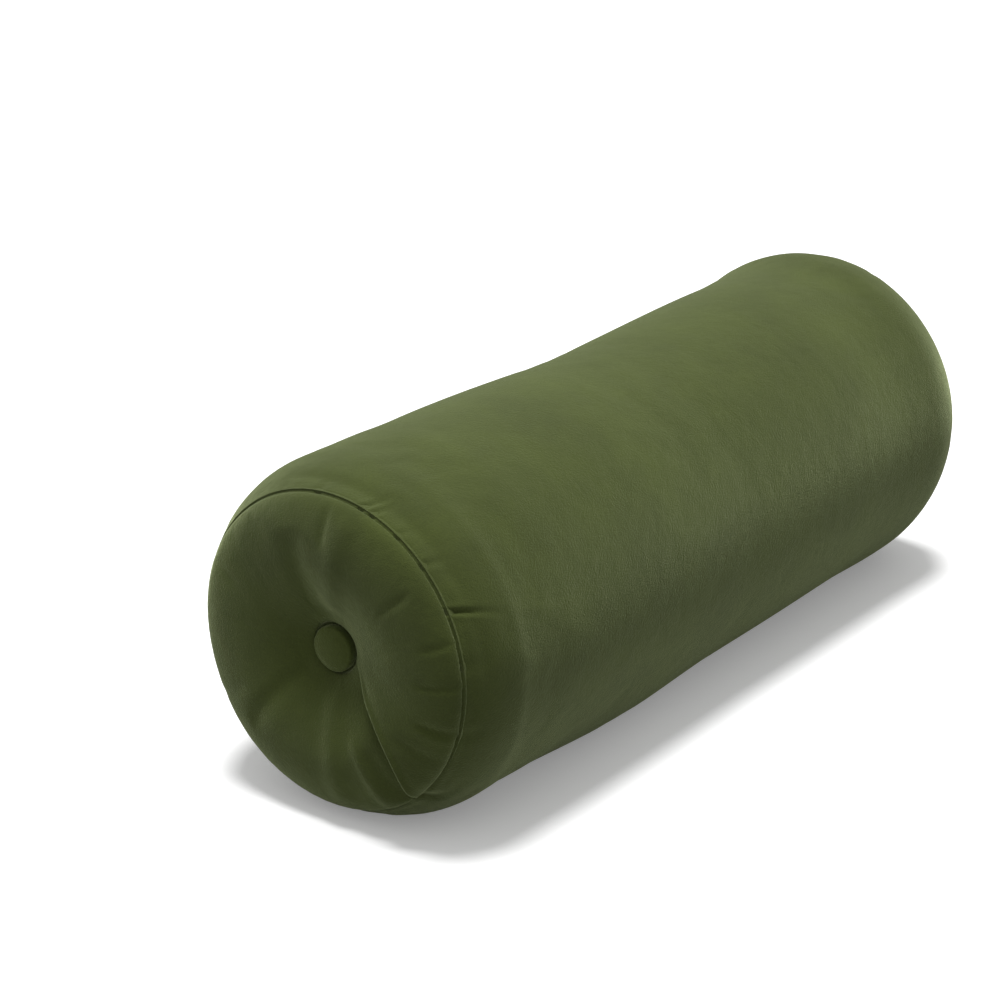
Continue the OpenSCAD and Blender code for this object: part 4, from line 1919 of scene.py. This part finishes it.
NEAR_TUCK = Tuck(-133.5, -30, 2.7 * MM, 4.2 * MM, 2.8 * MM)
NEAR_PINCHES = [
    Pucker(85, 13 * MM, 1.1 * MM, 1.7 * MM),
    Pucker(104, 17 * MM, 1.7 * MM, 1.5 * MM, 4),
    Pucker(109, 12 * MM, 1.5 * MM, 1.4 * MM, 1),
    Pucker(121, 12 * MM, 1.1 * MM, 1.6 * MM),
    Pucker(134, 17 * MM, 1.2 * MM, 1.6 * MM, 1.5),
    Pucker(151, 30 * MM, 2.6 * MM, 1.15 * MM, 7.5),
    Pucker(171, 14 * MM, 0.9 * MM, 2.6 * MM),
    Pucker(196, 16 * MM, 1.0 * MM, 2.6 * MM, -2),
    Pucker(227, 15 * MM, 1.6 * MM, 2.8 * MM, -3),
]


def scattered_creases(rng: np.random.Generator, count: int) -> list[Crease]:
    """Random small creases for the end disc whose folds aren't given."""
    return [
        Crease(
            float(rng.uniform(0, 360)),
            float(rng.uniform(24, 60)) * MM,
            float(rng.uniform(78, 86)) * MM,
            float(rng.uniform(0.6, 1.8)) * MM,
            float(rng.uniform(2.4, 6)) * MM,
            float(rng.uniform(-8, 8)),
            float(rng.uniform(0, 0.8)),
        )
        for _ in range(count)
    ]


def scattered_pinches(
    rng: np.random.Generator, count: int, low: float, high: float
) -> list[Pucker]:
    """Random small puckers along a stretch of seam, from one angle to another in degrees."""
    return [
        Pucker(
            float(rng.uniform(low, high)),
            float(rng.uniform(9, 20)) * MM,
            float(rng.uniform(0.4, 1.2)) * MM,
            float(rng.uniform(2.0, 3.4)) * MM,
            float(rng.uniform(-2, 2)),
        )
        for _ in range(count)
    ]


def main() -> None:
    """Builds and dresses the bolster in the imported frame."""
    logging.basicConfig(level=logging.INFO, format="%(name)s: %(message)s")
    finishes = Wardrobe(Finishes())
    Studio(finishes).build()
    rng = np.random.default_rng(SEED + 1)
    outline = Outline(
        near_folds=NEAR_FOLDS,
        far_folds=scattered_creases(rng, 16),
        near_tuck=NEAR_TUCK,
        near_pinches=NEAR_PINCHES + scattered_pinches(rng, 8, -110, 60),
        far_pinches=scattered_pinches(rng, 22, 0, 360),
    )
    bag = Bag(outline)
    bag.plump()
    pieces = Cover(bag, finishes).build()
    pieces += Filling(bag, finishes).build()
    pieces += [ButtonCloth(end, finishes).build() for end in End]
    pieces += Zip(bag, finishes).build()
    for piece in pieces:
        log.info("%s: %d faces", piece.name, len(piece.data.polygons))
    dress_kept_nodes(finishes)


if __name__ == "__main__":
    main()
